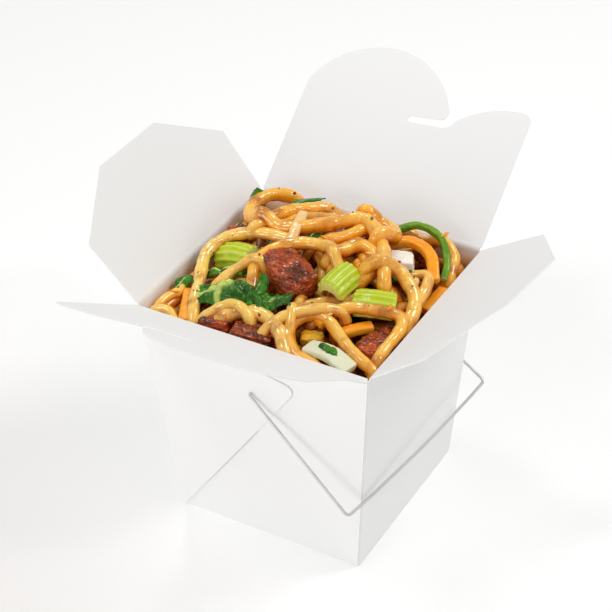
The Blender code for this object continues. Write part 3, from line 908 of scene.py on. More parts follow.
@dataclass
class Tub:
    """The folded tub: walls that flare to the rim, rounded folds, and webs on two walls."""

    base_half: tuple[float, float] = (42.5 * MM, 42.0 * MM)
    rim_half: tuple[float, float] = (52.5 * MM, 48.9 * MM)
    rim: float = 105.5 * MM
    crease: float = 1.0 * MM
    board: float = 0.5 * MM
    fold: float = 0.9 * MM
    web: float = 0.62 * MM
    web_lean: float = math.radians(54.5)
    web_tip: tuple[float, float] = (20.6 * MM, 88.5 * MM)
    web_round: float = 4.4 * MM
    web_drop: float = 1.8 * MM
    steps: int = 30
    rows: int = 36

    def half(self, z: float) -> tuple[float, float]:
        """Return the outside half width and depth at a height."""
        share = z / self.rim
        return tuple(b + (t - b) * share for b, t in zip(self.base_half, self.rim_half))

    def dent(self, x: float, y: float, z: float) -> float:
        """Return how far the board sags inward at a point of a wall.

        Args:
            x: The point's place.
            y: The point's place.
            z: The point's height.

        Returns:
            The sag in metres, zero along the folds.
        """
        half_x, half_y = self.half(z)
        along = y / half_y if abs(x) / half_x > abs(y) / half_y else x / half_x
        held = max(0.0, 1 - abs(along) ** 3) * math.sin(math.pi * min(z / self.rim, 1.0)) ** 0.5
        soft = 0.32 * MM * noise.noise(Vector((x, y, z)) * 30) + 0.10 * MM
        if x > 0 and abs(x) / half_x > abs(y) / half_y:
            upper = max(0.0, min(1.0, (z / self.rim - 0.12) / 0.9)) ** 1.4
            hollow = math.exp(-(((y - 14 * MM) / (9 * MM)) ** 2))
            ridge = 0.45 * math.exp(-(((y - 33 * MM) / (8 * MM)) ** 2))
            soft += 1.15 * MM * upper * (hollow - ridge) * max(0.0, 1 - (z / self.rim) ** 10)
        return held * soft

    def ring(self, z: float, inset: float) -> list[Vector]:
        """Lay out the wall's points round the tub.

        Args:
            z: The height.
            inset: How far inside the outer skin they lie.

        Returns:
            The points, round the four corners and along the walls between.
        """
        half_x, half_y = self.half(z)
        half_x, half_y = half_x - inset, half_y - inset
        round_ = max(self.fold - inset, 0.25 * MM)
        points = []
        corners = ((1, -1, -90), (1, 1, 0), (-1, 1, 90), (-1, -1, 180))
        for i, (sx, sy, start) in enumerate(corners):
            centre = (sx * (half_x - round_), sy * (half_y - round_))
            points += arc(centre, round_, start, start + 90, 5)
            nx, ny, begin = corners[(i + 1) % 4]
            ahead = arc((nx * (half_x - round_), ny * (half_y - round_)), round_, begin, begin, 1)[0]
            here = points[-1]
            points += [tuple(np.array(here) + (np.array(ahead) - here) * t)
                       for t in np.linspace(0, 1, self.steps + 1)[1:-1]]
        ring = []
        for x, y in points:
            sag = self.dent(x, y, z)
            scale_x = 1 - sag / half_x if abs(x) / half_x >= abs(y) / half_y else 1.0
            scale_y = 1 - sag / half_y if abs(x) / half_x < abs(y) / half_y else 1.0
            ring.append(Vector((x * scale_x, y * scale_y, z)))
        return ring

    def shell(self, name: str, heights: Sequence[float], inset: float, finish: Finish) -> Piece:
        """Build one skin of the tub.

        Args:
            name: The piece's name.
            heights: The rows' heights, base first.
            inset: How far inside the outer skin it lies.
            finish: Its finish.

        Returns:
            The skin.
        """
        rings = [self.ring(z, inset) for z in heights]
        n = len(rings[0])
        verts = [p for ring in rings for p in ring]
        faces = []
        for r in range(len(rings) - 1):
            faces += band(r * n, n)
        foot = len(verts)
        verts.append(Vector((0, 0, heights[0])))
        faces += [(foot, (k + 1) % n, k) for k in range(n)]
        return new_piece(name, verts, faces, finish, 40)

    def web_outline(self) -> list[tuple[float, float]]:
        """Lay out the left web.

        Returns:
            Its points, as across and height.
        """
        fold = Vector((math.cos(self.web_lean), math.sin(self.web_lean)))
        foot = Vector((-self.base_half[0] + 0.4 * MM, 0.3 * MM))
        top = Vector((-self.rim_half[0] + 0.5 * MM, self.rim - self.web_drop))
        tip = Vector(self.web_tip)
        edge = (top - tip).normalized()
        reach = self.web_round * math.tan(fold.angle(edge) / 2)
        start, stop = tip - fold * reach, tip + edge * reach
        bend = [start.lerp(tip, t).lerp(tip.lerp(stop, t), t) for t in np.linspace(0, 1, 12)]
        return [tuple(p) for p in (foot, *bend, top)]

    def web_piece(self, name: str, side: int, hand: int, over: bool) -> Piece:
        """Build one corner web.

        Args:
            name: The piece's name.
            side: -1 on the front wall, 1 on the back.
            hand: Which corner it folds from, as the sign that mirrors the left one.
            over: Whether it lies over the other web.

        Returns:
            The web.
        """
        def place(u: float, v: float) -> tuple[Vector, Vector]:
            """Lay a point of the web on its wall.

            Args:
                u: Its place across.
                v: Its height.

            Returns:
                The point and its normal.
            """
            x = hand * u
            out = self.half(v)[1] - self.dent(x, side * self.half(v)[1], v)
            lift = 0.06 * MM
            if over:
                lapped = min(1.0, max(0.0, (u + 34 * MM) / (14 * MM)))
                lift += self.web * lapped * lapped * (3 - 2 * lapped)
            free = min(1.0, max(0.0, (u + 30 * MM) / (50 * MM)))
            lift += 0.22 * MM * free * free + self.web / 2
            return Vector((x, side * (out + lift), v)), Vector((0, side, 0))

        verts, faces = panel_mesh(self.web_outline(), 4 * MM, self.web, place)
        made = new_piece(name, verts, faces, WHITE, 40)
        return seat(made, Body.BOX, Slot.BOARD)

    def build(self) -> list[Piece]:
        """Build the tub's skins, rim edge and webs.

        Returns:
            The pieces, of which the outer skin stands for the frame's tub.
        """
        top = self.rim - self.crease
        upper = [*np.linspace(2 * MM, top - 1 * MM, self.rows), top]
        outer = self.shell("tub_outer", [0.0, 0.3 * MM, 0.8 * MM, *upper], 0.0, WHITE)
        inner = self.shell("tub_liner", [self.board, *upper], self.board, LINER)
        seat(outer, Body.BOX, Slot.BOARD, "tub")
        seat(inner, Body.BOX, Slot.BOARD)
        edge, lip = self.ring(top, 0.0), self.ring(top, self.board)
        rim = new_piece("tub_rim", edge + lip, band(0, len(edge)), WHITE)
        seat(rim, Body.BOX, Slot.BOARD)
        webs = []
        for side, word in ((-1, "front"), (1, "back")):
            webs.append(self.web_piece(f"web_{word}_under", side, side, False))
            webs.append(self.web_piece(f"web_{word}_over", side, -side, True))
        return [outer, inner, rim, *webs]


class FlapShape(Enum):
    """The two flap outlines."""

    HOOKED = "hooked"
    SIX_SIDED = "six_sided"


@dataclass
class Flap:
    """A lid flap that turns on the rim, and the crease that joins it to its wall."""

    word: str
    body: Body
    joint: str
    shape: FlapShape
    along: Point
    outward: Point
    rest: float
    closing: float
    twist: float = 0.0
    curl: float = 0.0
    board: float = 0.5 * MM
    crease: float = 1.0 * MM
    cell: float = 4.0 * MM

    def outline(self) -> list[tuple[float, float]]:
        """Lay out the flap.

        Returns:
            Its points, as along the crease and outward.
        """
        if self.shape is FlapShape.SIX_SIDED:
            right = [(48.2 * MM, self.crease), (50.2 * MM, 30.5 * MM), (19.5 * MM, 52.0 * MM)]
            return right + [(-u, v) for u, v in reversed(right)]
        half = 52.2 * MM
        lobe, radius = (-18 * MM, 40 * MM), 37 * MM
        kink = math.degrees(math.acos((-half - lobe[0]) / radius))
        points = [(half, self.crease), (half, 57.4 * MM)]
        points += arc((half - 4.4 * MM, 57.6 * MM), 4.4 * MM, 5, 88, 9)
        points += arc((47.6 * MM, 22 * MM), 40 * MM, 91, 134, 16)
        points += arc((13.6 * MM, 55.9 * MM), 9.0 * MM, -48, -92, 10)
        points += arc((0.8 * MM, 47.6 * MM), 1.5 * MM, 260, 100, 9)
        points += arc((13.3 * MM, 52.9 * MM), 2.6 * MM, -85, 25, 9)
        points += arc(lobe, radius, 21, kink, 40)
        return points + [(-half, self.crease)]

    def place(self, hinge: Vector) -> Callable[[float, float], tuple[Vector, Vector]]:
        """Return the mapping from the flap's own plane to the frame.

        Args:
            hinge: A point of the crease's axis, at its middle.

        Returns:
            A function of across and outward giving a point and its normal.
        """
        along, outward = Vector(self.along), Vector(self.outward)
        rest = math.radians(self.rest)
        slope = outward * math.cos(rest) + UP * math.sin(rest)
        normal = along.cross(slope)

        def spot(u: float, v: float) -> tuple[Vector, Vector]:
            """Place a point of the flap, with its twist, curl and slight waviness.

            Args:
                u: Its place along the crease.
                v: Its place outward.

            Returns:
                The point and its normal.
            """
            turn = math.tan(math.radians(self.twist)) * (u / (50 * MM)) * v
            bow = self.curl * (v / (50 * MM)) ** 2
            wave = 0.5 * MM * noise.noise(Vector((u * 22, v * 22, self.rest))) * min(1.0, v / (12 * MM))
            return hinge + along * u + slope * v + normal * (turn + bow + wave), normal

        return spot

    def crease_strip(self, hinge: Vector, place: Callable) -> Piece:
        """Build the strip of board that bends between the wall and the flap.

        Args:
            hinge: The middle of the crease's axis.
            place: The flap's own mapping.

        Returns:
            The strip.
        """
        along, outward = Vector(self.along), Vector(self.outward)
        lean = Vector((0, 0, -1)) - outward * 0.08
        half = 51.6 * MM if self.shape is FlapShape.HOOKED else 47.9 * MM
        wall = [lean.normalized() * d * MM for d in (2.4, 1.8, 1.0)]
        proud = [self.board / 2 + d * MM for d in (-0.10, 0.04, 0.06, 0.06, 0.06, 0.06, 0.06, 0.04, -0.10)]
        columns = 48
        verts, faces = [], []
        for c in range(columns + 1):
            u = half * (2 * c / columns - 1)
            flap = [place(u, d * MM)[0] - hinge - along * u for d in (1.0, 1.8, 2.4)]
            knee = [wall[-1].lerp(Vector(), t).lerp(Vector().lerp(flap[0], t), t) for t in (0.25, 0.5, 0.75)]
            line = [*wall, *knee, *flap]
            for i, offset in enumerate(line):
                ahead, behind = line[min(i + 1, len(line) - 1)], line[max(i - 1, 0)]
                across = (ahead - behind).cross(along).normalized() * proud[i]
                middle = hinge + along * u + offset
                verts += [middle + across, middle - across]
        n = 2 * len(line)
        for c in range(columns):
            for i in range(len(line) - 1):
                a = c * n + 2 * i
                faces += [(a, a + 2, a + 2 + n, a + n), (a + 1, a + 1 + n, a + 3 + n, a + 3)]
            first, last = c * n, c * n + n - 2
            faces += [(first, first + n, first + 1 + n, first + 1), (last, last + 1, last + 1 + n, last + n)]
        for c in (0, columns):
            for i in range(len(line) - 1):
                a = c * n + 2 * i
                faces.append((a, a + 1, a + 3, a + 2))
        made = new_piece(f"crease_{self.word}", verts, faces, WHITE, 60)
        start, end = tuple(hinge + wall[-1]), tuple(hinge + flap[0])
        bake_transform(made)
        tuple(start)
        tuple(end)
        return made

    def build(self, joints: dict) -> list[Piece]:
        """Build the flap and its crease.

        Args:
            joints: The record's joints by name.

        Returns:
            The two pieces.
        """
        hinge = Vector(joints[self.joint]["pos_m"])
        place = self.place(hinge)
        verts, faces = panel_mesh(self.outline(), self.cell, self.board, place)
        made = new_piece(f"lid_{self.word}", verts, faces, WHITE, 40)
        seat(made, self.body, Slot.BOARD, f"flap_{self.word}")
        return [made, self.crease_strip(hinge, place)]


@dataclass
class Bail:
    """The wire: hooked ends in the walls, two arms and a bowed bar."""

    radius: float = 0.65 * MM
    front_corner: Point = (46.3 * MM, -56.8 * MM, 40.8 * MM)
    back_corner: Point = (54.3 * MM, 51.0 * MM, 36.8 * MM)
    bow: float = 1.5 * MM
    hook: float = 2.6 * MM
    hook_bend: float = 1.1 * MM
    bend: float = 2.2 * MM
    bar_bends: tuple[float, float, float] = (9 * MM, 20 * MM, 9 * MM)

    @staticmethod
    def rounded(points: list[Vector], radii: Sequence[float]) -> list[Vector]:
        """Turn a path's inner corners into curves.

        Args:
            points: The path's corners.
            radii: How far each inner corner's curve reaches.

        Returns:
            The path.
        """
        path = [points[0]]
        for before, corner, after, radius in zip(points, points[1:], points[2:], radii):
            start = corner + (before - corner).normalized() * radius
            stop = corner + (after - corner).normalized() * radius
            path += [start.lerp(corner, t).lerp(corner.lerp(stop, t), t) for t in np.linspace(0, 1, 14)]
        return [*path, points[-1]]

    def build(self, joints: dict) -> Piece:
        """Build the wire on its pivots.

        Args:
            joints: The record's joints by name.

        Returns:
            The wire.
        """
        front = Vector(joints["bail_swing"]["pos_m"])
        back = Vector((front.x, -front.y, front.z))
        inward = Vector((0, self.hook, 0))
        one, two = Vector(self.front_corner), Vector(self.back_corner)
        outward = (one - front).normalized()
        bar = [one.lerp(two, t) + outward * (4 * self.bow * t * (1 - t)) for t in (0, 0.12, 0.5, 0.88, 1)]
        corners = [front + inward, front, *bar, back, back - inward]
        bends = [self.hook_bend, self.bend, *self.bar_bends, self.bend, self.hook_bend]
        path = np.array([tuple(p) for p in self.rounded(corners, bends)])
        ring = np.array(arc((0, 0), self.radius, 0, 337.5, 16))
        verts, faces = sweep_rings(path, ring, False)
        made = new_piece("wire_bail", verts, faces, STEEL, 60)
        return seat(made, Body.WIRE, Slot.WIRE, "bail")


# ---------------------------------------------------------------- noodles


@dataclass
class HeapMap:
    """Height maps over the heap: the floor that noodles have built so far, and their ceiling."""

    nodes: dict
    toppings: Sequence[str]
    cell: float = 0.6 * MM
    depth: float = 10.5 * MM
    x: np.ndarray = field(init=False)
    y: np.ndarray = field(init=False)
    ceiling: np.ndarray = field(init=False)
    floor: np.ndarray = field(init=False)
    floor_start: np.ndarray = field(init=False)
    cover: np.ndarray = field(init=False)

    def __post_init__(self) -> None:
        """Read the frame's heap and toppings from above."""
        low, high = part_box("noodles")
        self.x = np.arange(low[0], high[0], self.cell)
        self.y = np.arange(low[1], high[1], self.cell)
        heap = evaluated_tree(["noodles"], self.nodes)
        tops = evaluated_tree(self.toppings, self.nodes)
        shape = (len(self.y), len(self.x))
        self.ceiling, self.cover = np.zeros(shape), np.zeros(shape)
        sky, down = high[2] + 0.05, Vector((0, 0, -1))
        for r, y in enumerate(self.y):
            for c, x in enumerate(self.x):
                hit = heap.ray_cast(Vector((x, y, sky)), down)[0]
                self.ceiling[r, c] = hit.z if hit else low[2]
                top = tops.ray_cast(Vector((x, y, sky)), down)[0]
                self.cover[r, c] = top.z if top else 0.0
        edge = np.percentile(self.ceiling, 3) - 4 * MM
        self.ceiling = np.maximum(self.ceiling, edge)
        self.floor = self.ceiling - self.depth
        self.floor_start = self.floor.copy()

    def cell_of(self, x: float, y: float) -> tuple[int, int]:
        """Find the cell that holds a point.

        Args:
            x: Its place across.
            y: Its place along.

        Returns:
            Its row and column, kept on the map.
        """
        row = int(round((y - self.y[0]) / self.cell))
        column = int(round((x - self.x[0]) / self.cell))
        return min(max(row, 0), len(self.y) - 1), min(max(column, 0), len(self.x) - 1)

    def patch(self, x: float, y: float, radius: float) -> tuple[slice, slice, np.ndarray]:
        """Find the cells that something round stands over.

        Args:
            x: Its place across.
            y: Its place along.
            radius: Its radius.

        Returns:
            The rows and columns, and its surface's height over its centre at each, below 0 outside it.
        """
        row, column = self.cell_of(x, y)
        reach = int(radius / self.cell) + 1
        rows = slice(max(row - reach, 0), min(row + reach + 1, len(self.y)))
        columns = slice(max(column - reach, 0), min(column + reach + 1, len(self.x)))
        gap = (self.y[rows][:, None] - y) ** 2 + (self.x[columns][None] - x) ** 2
        room = radius * radius - gap
        return rows, columns, np.sqrt(np.maximum(room, 0.0)) - np.where(room < 0, 1.0, 0.0)

    def rest_height(self, x: float, y: float, radius: float, under: np.ndarray) -> float:
        """Return the lowest centre height of a noodle lying on a map at a point."""
        rows, columns, sag = self.patch(x, y, radius)
        return float(np.max(under[rows, columns] + sag))

    def depths(self, points: np.ndarray) -> np.ndarray:
        """Return how deep points lie under the finished heap, 0 near its top to 1 well inside.

        Args:
            points: The points, one a row.

        Returns:
            A share for each.
        """
        rows = np.clip(np.rint((points[:, 1] - self.y[0]) / self.cell).astype(int), 0, len(self.y) - 1)
        columns = np.clip(np.rint((points[:, 0] - self.x[0]) / self.cell).astype(int), 0, len(self.x) - 1)
        below = np.maximum(self.floor, self.cover)[rows, columns] - points[:, 2]
        share = np.clip((below - 3.0 * MM) / (7.0 * MM), 0.0, 1.0)
        return share * share * (3 - 2 * share)

    def lay(self, path: np.ndarray, radius: float) -> None:
        """Raise the floor to a noodle's top along its path.

        Args:
            path: The noodle's path.
            radius: Its radius.
        """
        for x, y, z in path:
            rows, columns, sag = self.patch(x, y, radius)
            held = self.floor[rows, columns]
            np.maximum(held, np.where(sag >= 0, z + sag, held), out=held)


@dataclass
class Noodle:
    """One noodle: its path, thickness and tone."""

    path: np.ndarray
    radius: float
    tone: float
    seed: int
    sides: int = 16

    def surface(self) -> tuple[np.ndarray, list, np.ndarray]:
        """Sweep the noodle, softly uneven, with round ends.

        Returns:
            Its points, its faces and its tone at each point.
        """
        rng = np.random.default_rng(self.seed)
        count = len(self.path)
        run = np.arange(count) * np.linalg.norm(self.path[1] - self.path[0])
        swell = 1 + 0.05 * np.sin(run * 420 + rng.uniform(0, 6))
        swell = swell + 0.035 * np.sin(run * 1130 + rng.uniform(0, 6))
        ends = np.minimum(run, run[-1] - run) / self.radius
        cap = np.sqrt(np.clip(1 - (1 - np.clip(ends, 0.02, 1)) ** 2, 0.03, 1))
        turns = np.linspace(0, 2 * math.pi, self.sides, endpoint=False)
        flat = 1 + 0.05 * np.cos(2 * turns + rng.uniform(0, 6))
        size = self.radius * swell * cap
        ring = np.column_stack([np.cos(turns) * flat, np.sin(turns) * flat])
        verts, faces = sweep_rings(self.path, size[:, None, None] * ring[None], False)
        drift = self.tone + 0.16 * np.sin(run * 95 + rng.uniform(0, 6))
        return verts, faces, np.repeat(drift, self.sides)


@dataclass
class LidPlanes:
    """The planes that the closing flaps stop at, which the food stays under."""

    joints: dict
    flaps: Sequence[Flap]
    clearance: float = 0.7 * MM

    def ceiling(self, x: float, y: float, radius: float) -> float:
        """Return the highest centre for something round under every closing flap.

        Args:
            x: Its place across.
            y: Its place along.
            radius: Its radius.

        Returns:
            The height.
        """
        levels = []
        for flap in self.flaps:
            joint = self.joints[flap.joint]
            hinge, outward = Vector(joint["pos_m"]), Vector(flap.outward)
            inward = (hinge - Vector((x, y, hinge.z))).dot(outward)
            lean = math.pi - math.radians(flap.rest + flap.closing)
            levels.append(hinge.z + (inward * math.sin(lean) - radius - self.clearance) / math.cos(lean))
        return min(levels)

    def press(self, points: Iterable[Vector]) -> list[Vector]:
        """Return points lowered to where no closing flap touches them."""
        return [Vector((p[0], p[1], min(p[2], self.ceiling(p[0], p[1], 0.0)))) for p in points]


@dataclass
class NoodleHeap:
    """The heap: a dark bed of sauce colour and painted shade, filling noodles laid by height, and placed
    noodles over them.
    """

    heap: HeapMap
    tub: Tub
    lids: LidPlanes
    radius: float = 2.5 * MM
    spacing: float = 1.0 * MM
    wall: float = 3.4 * MM
    softening: int = 36
    tries: int = 150
    misses_allowed: int = 60
    shortest_walk: int = 14
    shortest_kept: int = 12
    bed_step: int = 4
    seed: int = 11
    placed_seed: int = 900
    laid: list[Noodle] = field(default_factory=list)

    @staticmethod
    def placed() -> dict[str, tuple[tuple[Point, ...], float, float]]:
        """Return the placed noodles by name.

        Returns:
            For each its route in millimetres (across, along and above the rim), its tone and its radius.
        """
        return {
            "left_arc": (((-33, -38, -4), (-37, -28, -1), (-41, -18, 1.5), (-44.5, -7, 4), (-41, 2, 6.5),
                          (-29, 7, 9), (-16, 8, 9.5)), 0.15, 2.6),
            "under_beef": (((8, -19, 0.5), (14, -14.5, 1.2), (21, -10.5, 1.2), (27, -3, 1.5)), 0.45, 2.3),
            "loop_mid": (((8, 7, 7), (12, 14.5, 9.5), (20, 15, 9), (26, 7, 6.5), (24, 1.5, 5), (19, -4, 1.5)),
                         0.75, 3.0),
            "behind_loop": (((-30, 10, 7), (-25, 18, 8), (-17, 24, 9), (-7, 29, 8.5)), 0.5, 2.5),
            "ring_back": (((-33, 42, 5.5), (-40, 38, 6.5), (-43.5, 29, 7), (-41, 20, 6.5), (-34, 16.5, 6.5),
                           (-27, 19, 8), (-19, 28, 10), (-13, 35, 9.5), (-8, 35, 7)), 0.75, 2.9),
            "cross": (((-3, 9, 9), (3, 15, 10), (9, 24, 11.5), (12, 29, 11)), 0.7, 2.5),
            "big_arc": (((-29, 13, 7.5), (-19, 13, 10), (-4, 20.5, 12.8), (7, 29, 13), (17, 25, 11.5),
                         (25, 15, 8.5), (30.5, 5, 4)), 0.6, 3.0),
            "curl_back": (((8, 34, 8), (15, 35, 9), (21, 33, 8), (23, 27, 6), (21, 22, 5)), 0.8, 2.8),
            "beef_arc": (((-16, -20, 2), (-19.5, -11, 6.5), (-16, -2, 10.5), (-5, 5, 12.6), (5, 5, 12),
                          (11, 2, 9.5)), 0.6, 2.6),
            "back_right": (((21, 43, 4.5), (28, 44.8, 6), (37, 42, 5.5), (45, 38, 3.5), (47.5, 31, 0)),
                           0.65, 2.8),
            "right_arc": (((26, 4, 3.5), (35, 9, 5), (43, 6.5, 3), (47, -2, -2), (47.5, -9, -5)), 0.55, 2.9),
            "right_two": (((36, 19, 0), (42, 20, 2), (45, 14, 2.2), (46.5, 5, -0.5), (47, 0, -4)), 0.5, 2.4),
            "front_right": (((17, -22, 0.5), (25, -15.5, 2.8), (37, -11.5, 3), (45.5, -9.5, 1),
                             (47.5, -17, -1), (46.5, -29, -4)), 0.6, 2.4),
            "front_loop": (((27, -44.5, -5.5), (17, -43, -3), (9.5, -35, -0.5), (11.5, -26, 1.2),
                            (20, -24.5, 2), (28, -29.5, 0.4), (37, -33.5, -2.2), (46, -36.5, -5)), 0.65, 2.5),
            "lower_left": (((-18, -37, -2), (-11, -32.5, 0), (-1, -32.5, 0.3), (7, -38, -1.8), (12, -44, -5)),
                           0.0, 3.1),
            "inner_loop": (((3, -37, -3), (8, -31.5, -1.4), (14, -26.5, -0.8), (21, -21, 0)), 0.35, 2.4),
            "small_left": (((-25, -37.5, -2), (-19, -33.5, 0.3), (-12.5, -34.5, -0.5)), 0.1, 2.5),
            "left_short": (((-31, -21, 1), (-28, -14.5, 3), (-21, -11, 3.8), (-15, -11, 3)), 0.5, 2.2),
            "mid_upright": (((9, -31, -2), (7.5, -27, 0.3), (5, -19, 1)), 0.5, 2.2),
            "corner_left": (((-47.5, -38, -8), (-47.2, -34, -5.0), (-45.5, -29, -4.5), (-46, -24, -6)),
                            0.45, 2.2),
            "corner_front": (((-47.5, -43, -8), (-43, -41.5, -6.2), (-38, -43.5, -7.5)), 0.3, 2.2),
        }

    def settle(self, flat: np.ndarray, radius: float, under: np.ndarray,
               wanted: np.ndarray | None) -> np.ndarray:
        """Give a route its heights: as low as what lies under it lets it, bending smoothly.

        Args:
            flat: The route, its heights unused.
            radius: The noodle's radius.
            under: The height map it lies on.
            wanted: Heights it would rather have, where it is a placed noodle.

        Returns:
            The path.
        """
        needed = np.array([self.heap.rest_height(x, y, radius * 0.86, under) for x, y, _ in flat])
        needed += radius * 0.06
        base = needed if wanted is None else np.maximum(needed - radius * 0.5, wanted)
        z = base.copy()
        for _ in range(self.softening):
            pulled = z.copy()
            pulled[1:-1] = 0.5 * z[1:-1] + 0.25 * (z[:-2] + z[2:])
            z = np.maximum(pulled, base - radius * 0.30)
        return np.column_stack([flat[:, :2], z])

    def keep_in(self, path: np.ndarray, radius: float) -> np.ndarray:
        """Press a path inward wherever it would pass through a wall.

        Args:
            path: The path.
            radius: The noodle's radius.

        Returns:
            The path inside the walls.
        """
        kept = path.copy()
        for axis in (0, 1):
            slope = (self.tub.rim_half[axis] - self.tub.base_half[axis]) / self.tub.rim
            wall = self.tub.base_half[axis] + slope * np.minimum(kept[:, 2], self.tub.rim)
            limit = wall - self.tub.board - radius * 1.16 - 0.25 * MM
            kept[:, axis] = np.clip(kept[:, axis], -limit, limit)
        roof = [self.lids.ceiling(x, y, radius * 1.12) for x, y, _ in kept]
        kept[:, 2] = np.minimum(kept[:, 2], roof)
        return kept

    def bury(self, path: np.ndarray, reach: float, drop: float) -> np.ndarray:
        """Carry both ends of a path on, curving down into the heap.

        Args:
            path: The path.
            reach: How far each end goes on.
            drop: How deep it ends.

        Returns:
            The longer path.
        """
        count = max(3, round(1.3 * reach / self.spacing))
        shares = np.linspace(0, 1, count + 1)[1:]
        ends = []
        for tip, inner in ((path[0], path[4]), (path[-1], path[-5])):
            way = tip - inner
            way /= np.linalg.norm(way) + 1e-9
            turn = shares * math.pi / 2
            ahead = tip + np.outer(np.sin(turn) * reach, way * (1, 1, 0.6))
            ahead[:, 2] -= (1 - np.cos(turn)) * drop
            ends.append(ahead)
        whole = smooth_even(np.vstack([ends[0][::-1], path, ends[1]]), self.spacing)
        for row in whole:
            sway = noise.noise_vector(Vector(row) * 75 + Vector((tip[0] * 900, 0, 0)))
            row += np.array(sway) * (0.9 * MM, 0.9 * MM, 0.35 * MM)
        return whole

    def wander(self, rng: np.random.Generator) -> np.ndarray:
        """Walk a filling noodle through the lowest places left.

        Args:
            rng: The source of its chances.

        Returns:
            The route walked, its heights unused.
        """
        heap = self.heap
        room = heap.ceiling - heap.floor
        across, along = (np.abs(line) < line[-1] - self.wall for line in (heap.x, heap.y))
        inside = across[None] & along[:, None]
        score = np.where(inside, room + rng.uniform(0, 2.5 * MM, room.shape), -1)
        row, column = np.unravel_index(int(np.argmax(score)), score.shape)
        spot = np.array([heap.x[column], heap.y[row]])
        heading, curl = rng.uniform(0, 2 * math.pi), rng.uniform(-0.1, 0.1)
        route = [spot.copy()]
        for _ in range(int(rng.uniform(55, 130))):
            best, best_value = 0.0, -1e9
            for turn in (-0.21, -0.14, -0.07, 0.0, 0.07, 0.14, 0.21):
                value = -abs(turn - curl) * 6 * MM
                for ahead in (3 * MM, 7 * MM):
                    way = heading + turn * 3
                    r, c = heap.cell_of(*(spot + ahead * np.array([math.cos(way), math.sin(way)])))
                    value += room[r, c] * 0.5 if inside[r, c] else -12 * MM
                if value > best_value:
                    best, best_value = turn, value
            heading += best
            curl = 0.93 * curl + rng.normal(0, 0.028)
            spot = spot + self.spacing * np.array([math.cos(heading), math.sin(heading)])
            r, c = heap.cell_of(*spot)
            if not inside[r, c]:
                break
            route.append(spot.copy())
        return np.column_stack([np.array(route), np.zeros(len(route))])

    def fill(self) -> None:
        """Lay filling noodles until the heap is full or too many in turn find no room."""
        rng = np.random.default_rng(self.seed)
        misses = 0
        for i in range(self.tries):
            radius = self.radius * rng.uniform(0.9, 1.12)
            flat = self.wander(rng)
            if len(flat) < self.shortest_walk:
                misses += 1
                continue
            path = self.settle(flat, radius, self.heap.floor, None)
            over = [z + radius - self.heap.ceiling[self.heap.cell_of(x, y)] for x, y, z in path]
            keep = np.array(over) < 1.6 * MM
            if keep.mean() < 0.5:
                misses += 1
                if misses > self.misses_allowed:
                    break
                r, c = self.heap.cell_of(*flat[0][:2])
                self.heap.floor[max(r - 3, 0) : r + 4, max(c - 3, 0) : c + 4] += 0.8 * MM
                continue
            first = int(np.argmax(keep))
            stop = first
            while stop < len(keep) and keep[stop]:
                stop += 1
            path = path[first:stop]
            if len(path) < self.shortest_kept:
                misses += 1
                continue
            whole = self.keep_in(self.bury(path, 5 * MM, 6 * MM), radius)
            self.laid.append(Noodle(whole, radius, float(rng.uniform(0.1, 1.15)), 100 + i))
            self.heap.lay(path, radius)

    def place_noodles(self) -> None:
        """Lay the placed noodles over the filling, each on what lies beneath it."""
        for i, (route, tone, thickness) in enumerate(self.placed().values()):
            radius = thickness * MM
            points = [(x * MM, y * MM, self.tub.rim + h * MM) for x, y, h in route]
            line = self.keep_in(smooth_route(points, self.spacing * 0.8), radius)
            path = self.keep_in(self.settle(line, radius, self.heap.floor, line[:, 2]), radius)
            whole = self.keep_in(self.bury(path, 6 * MM, 8 * MM), radius)
            self.laid.append(Noodle(whole, radius, tone, self.placed_seed + i))
            self.heap.lay(path, radius)
        LOG.info("noodles laid: %d", len(self.laid))

    def bed(self) -> Piece:
        """Build the dark bed under the noodles, down to the tub's base; its dark sauce colour is painted
        shade between the noodles.

        Returns:
            The bed, which stands for the frame's heap.
        """
        step = self.bed_step
        low = self.heap.floor_start[::step, ::step]
        rows, columns = low.shape
        tops = [(x, y, low[r, c]) for r, y in enumerate(self.heap.y[::step])
                for c, x in enumerate(self.heap.x[::step])]
        verts, faces = [tuple(v) for v in self.keep_in(np.array(tops), 0.4 * MM)], []
        for r in range(rows - 1):
            for c in range(columns - 1):
                a = r * columns + c
                faces.append((a, a + 1, a + columns + 1, a + columns))
        edge = list(range(columns)) + [r * columns + columns - 1 for r in range(1, rows)]
        edge += [(rows - 1) * columns + c for c in range(columns - 2, -1, -1)]
        edge += [r * columns for r in range(rows - 2, 0, -1)]
        shift, n = len(verts), len(edge)
        foot = self.keep_in(np.array([(verts[i][0], verts[i][1], 2 * MM) for i in edge]), 0.8 * MM)
        verts += [tuple(v) for v in foot]
        faces += [(edge[i], edge[(i + 1) % n], shift + (i + 1) % n, shift + i) for i in range(n)]
        faces.append(tuple(range(shift, shift + n)))
        made = new_piece("noodle_bed", verts, faces, BED, 60)
        return seat(made, Body.BOX, Slot.NOODLES, "noodles")

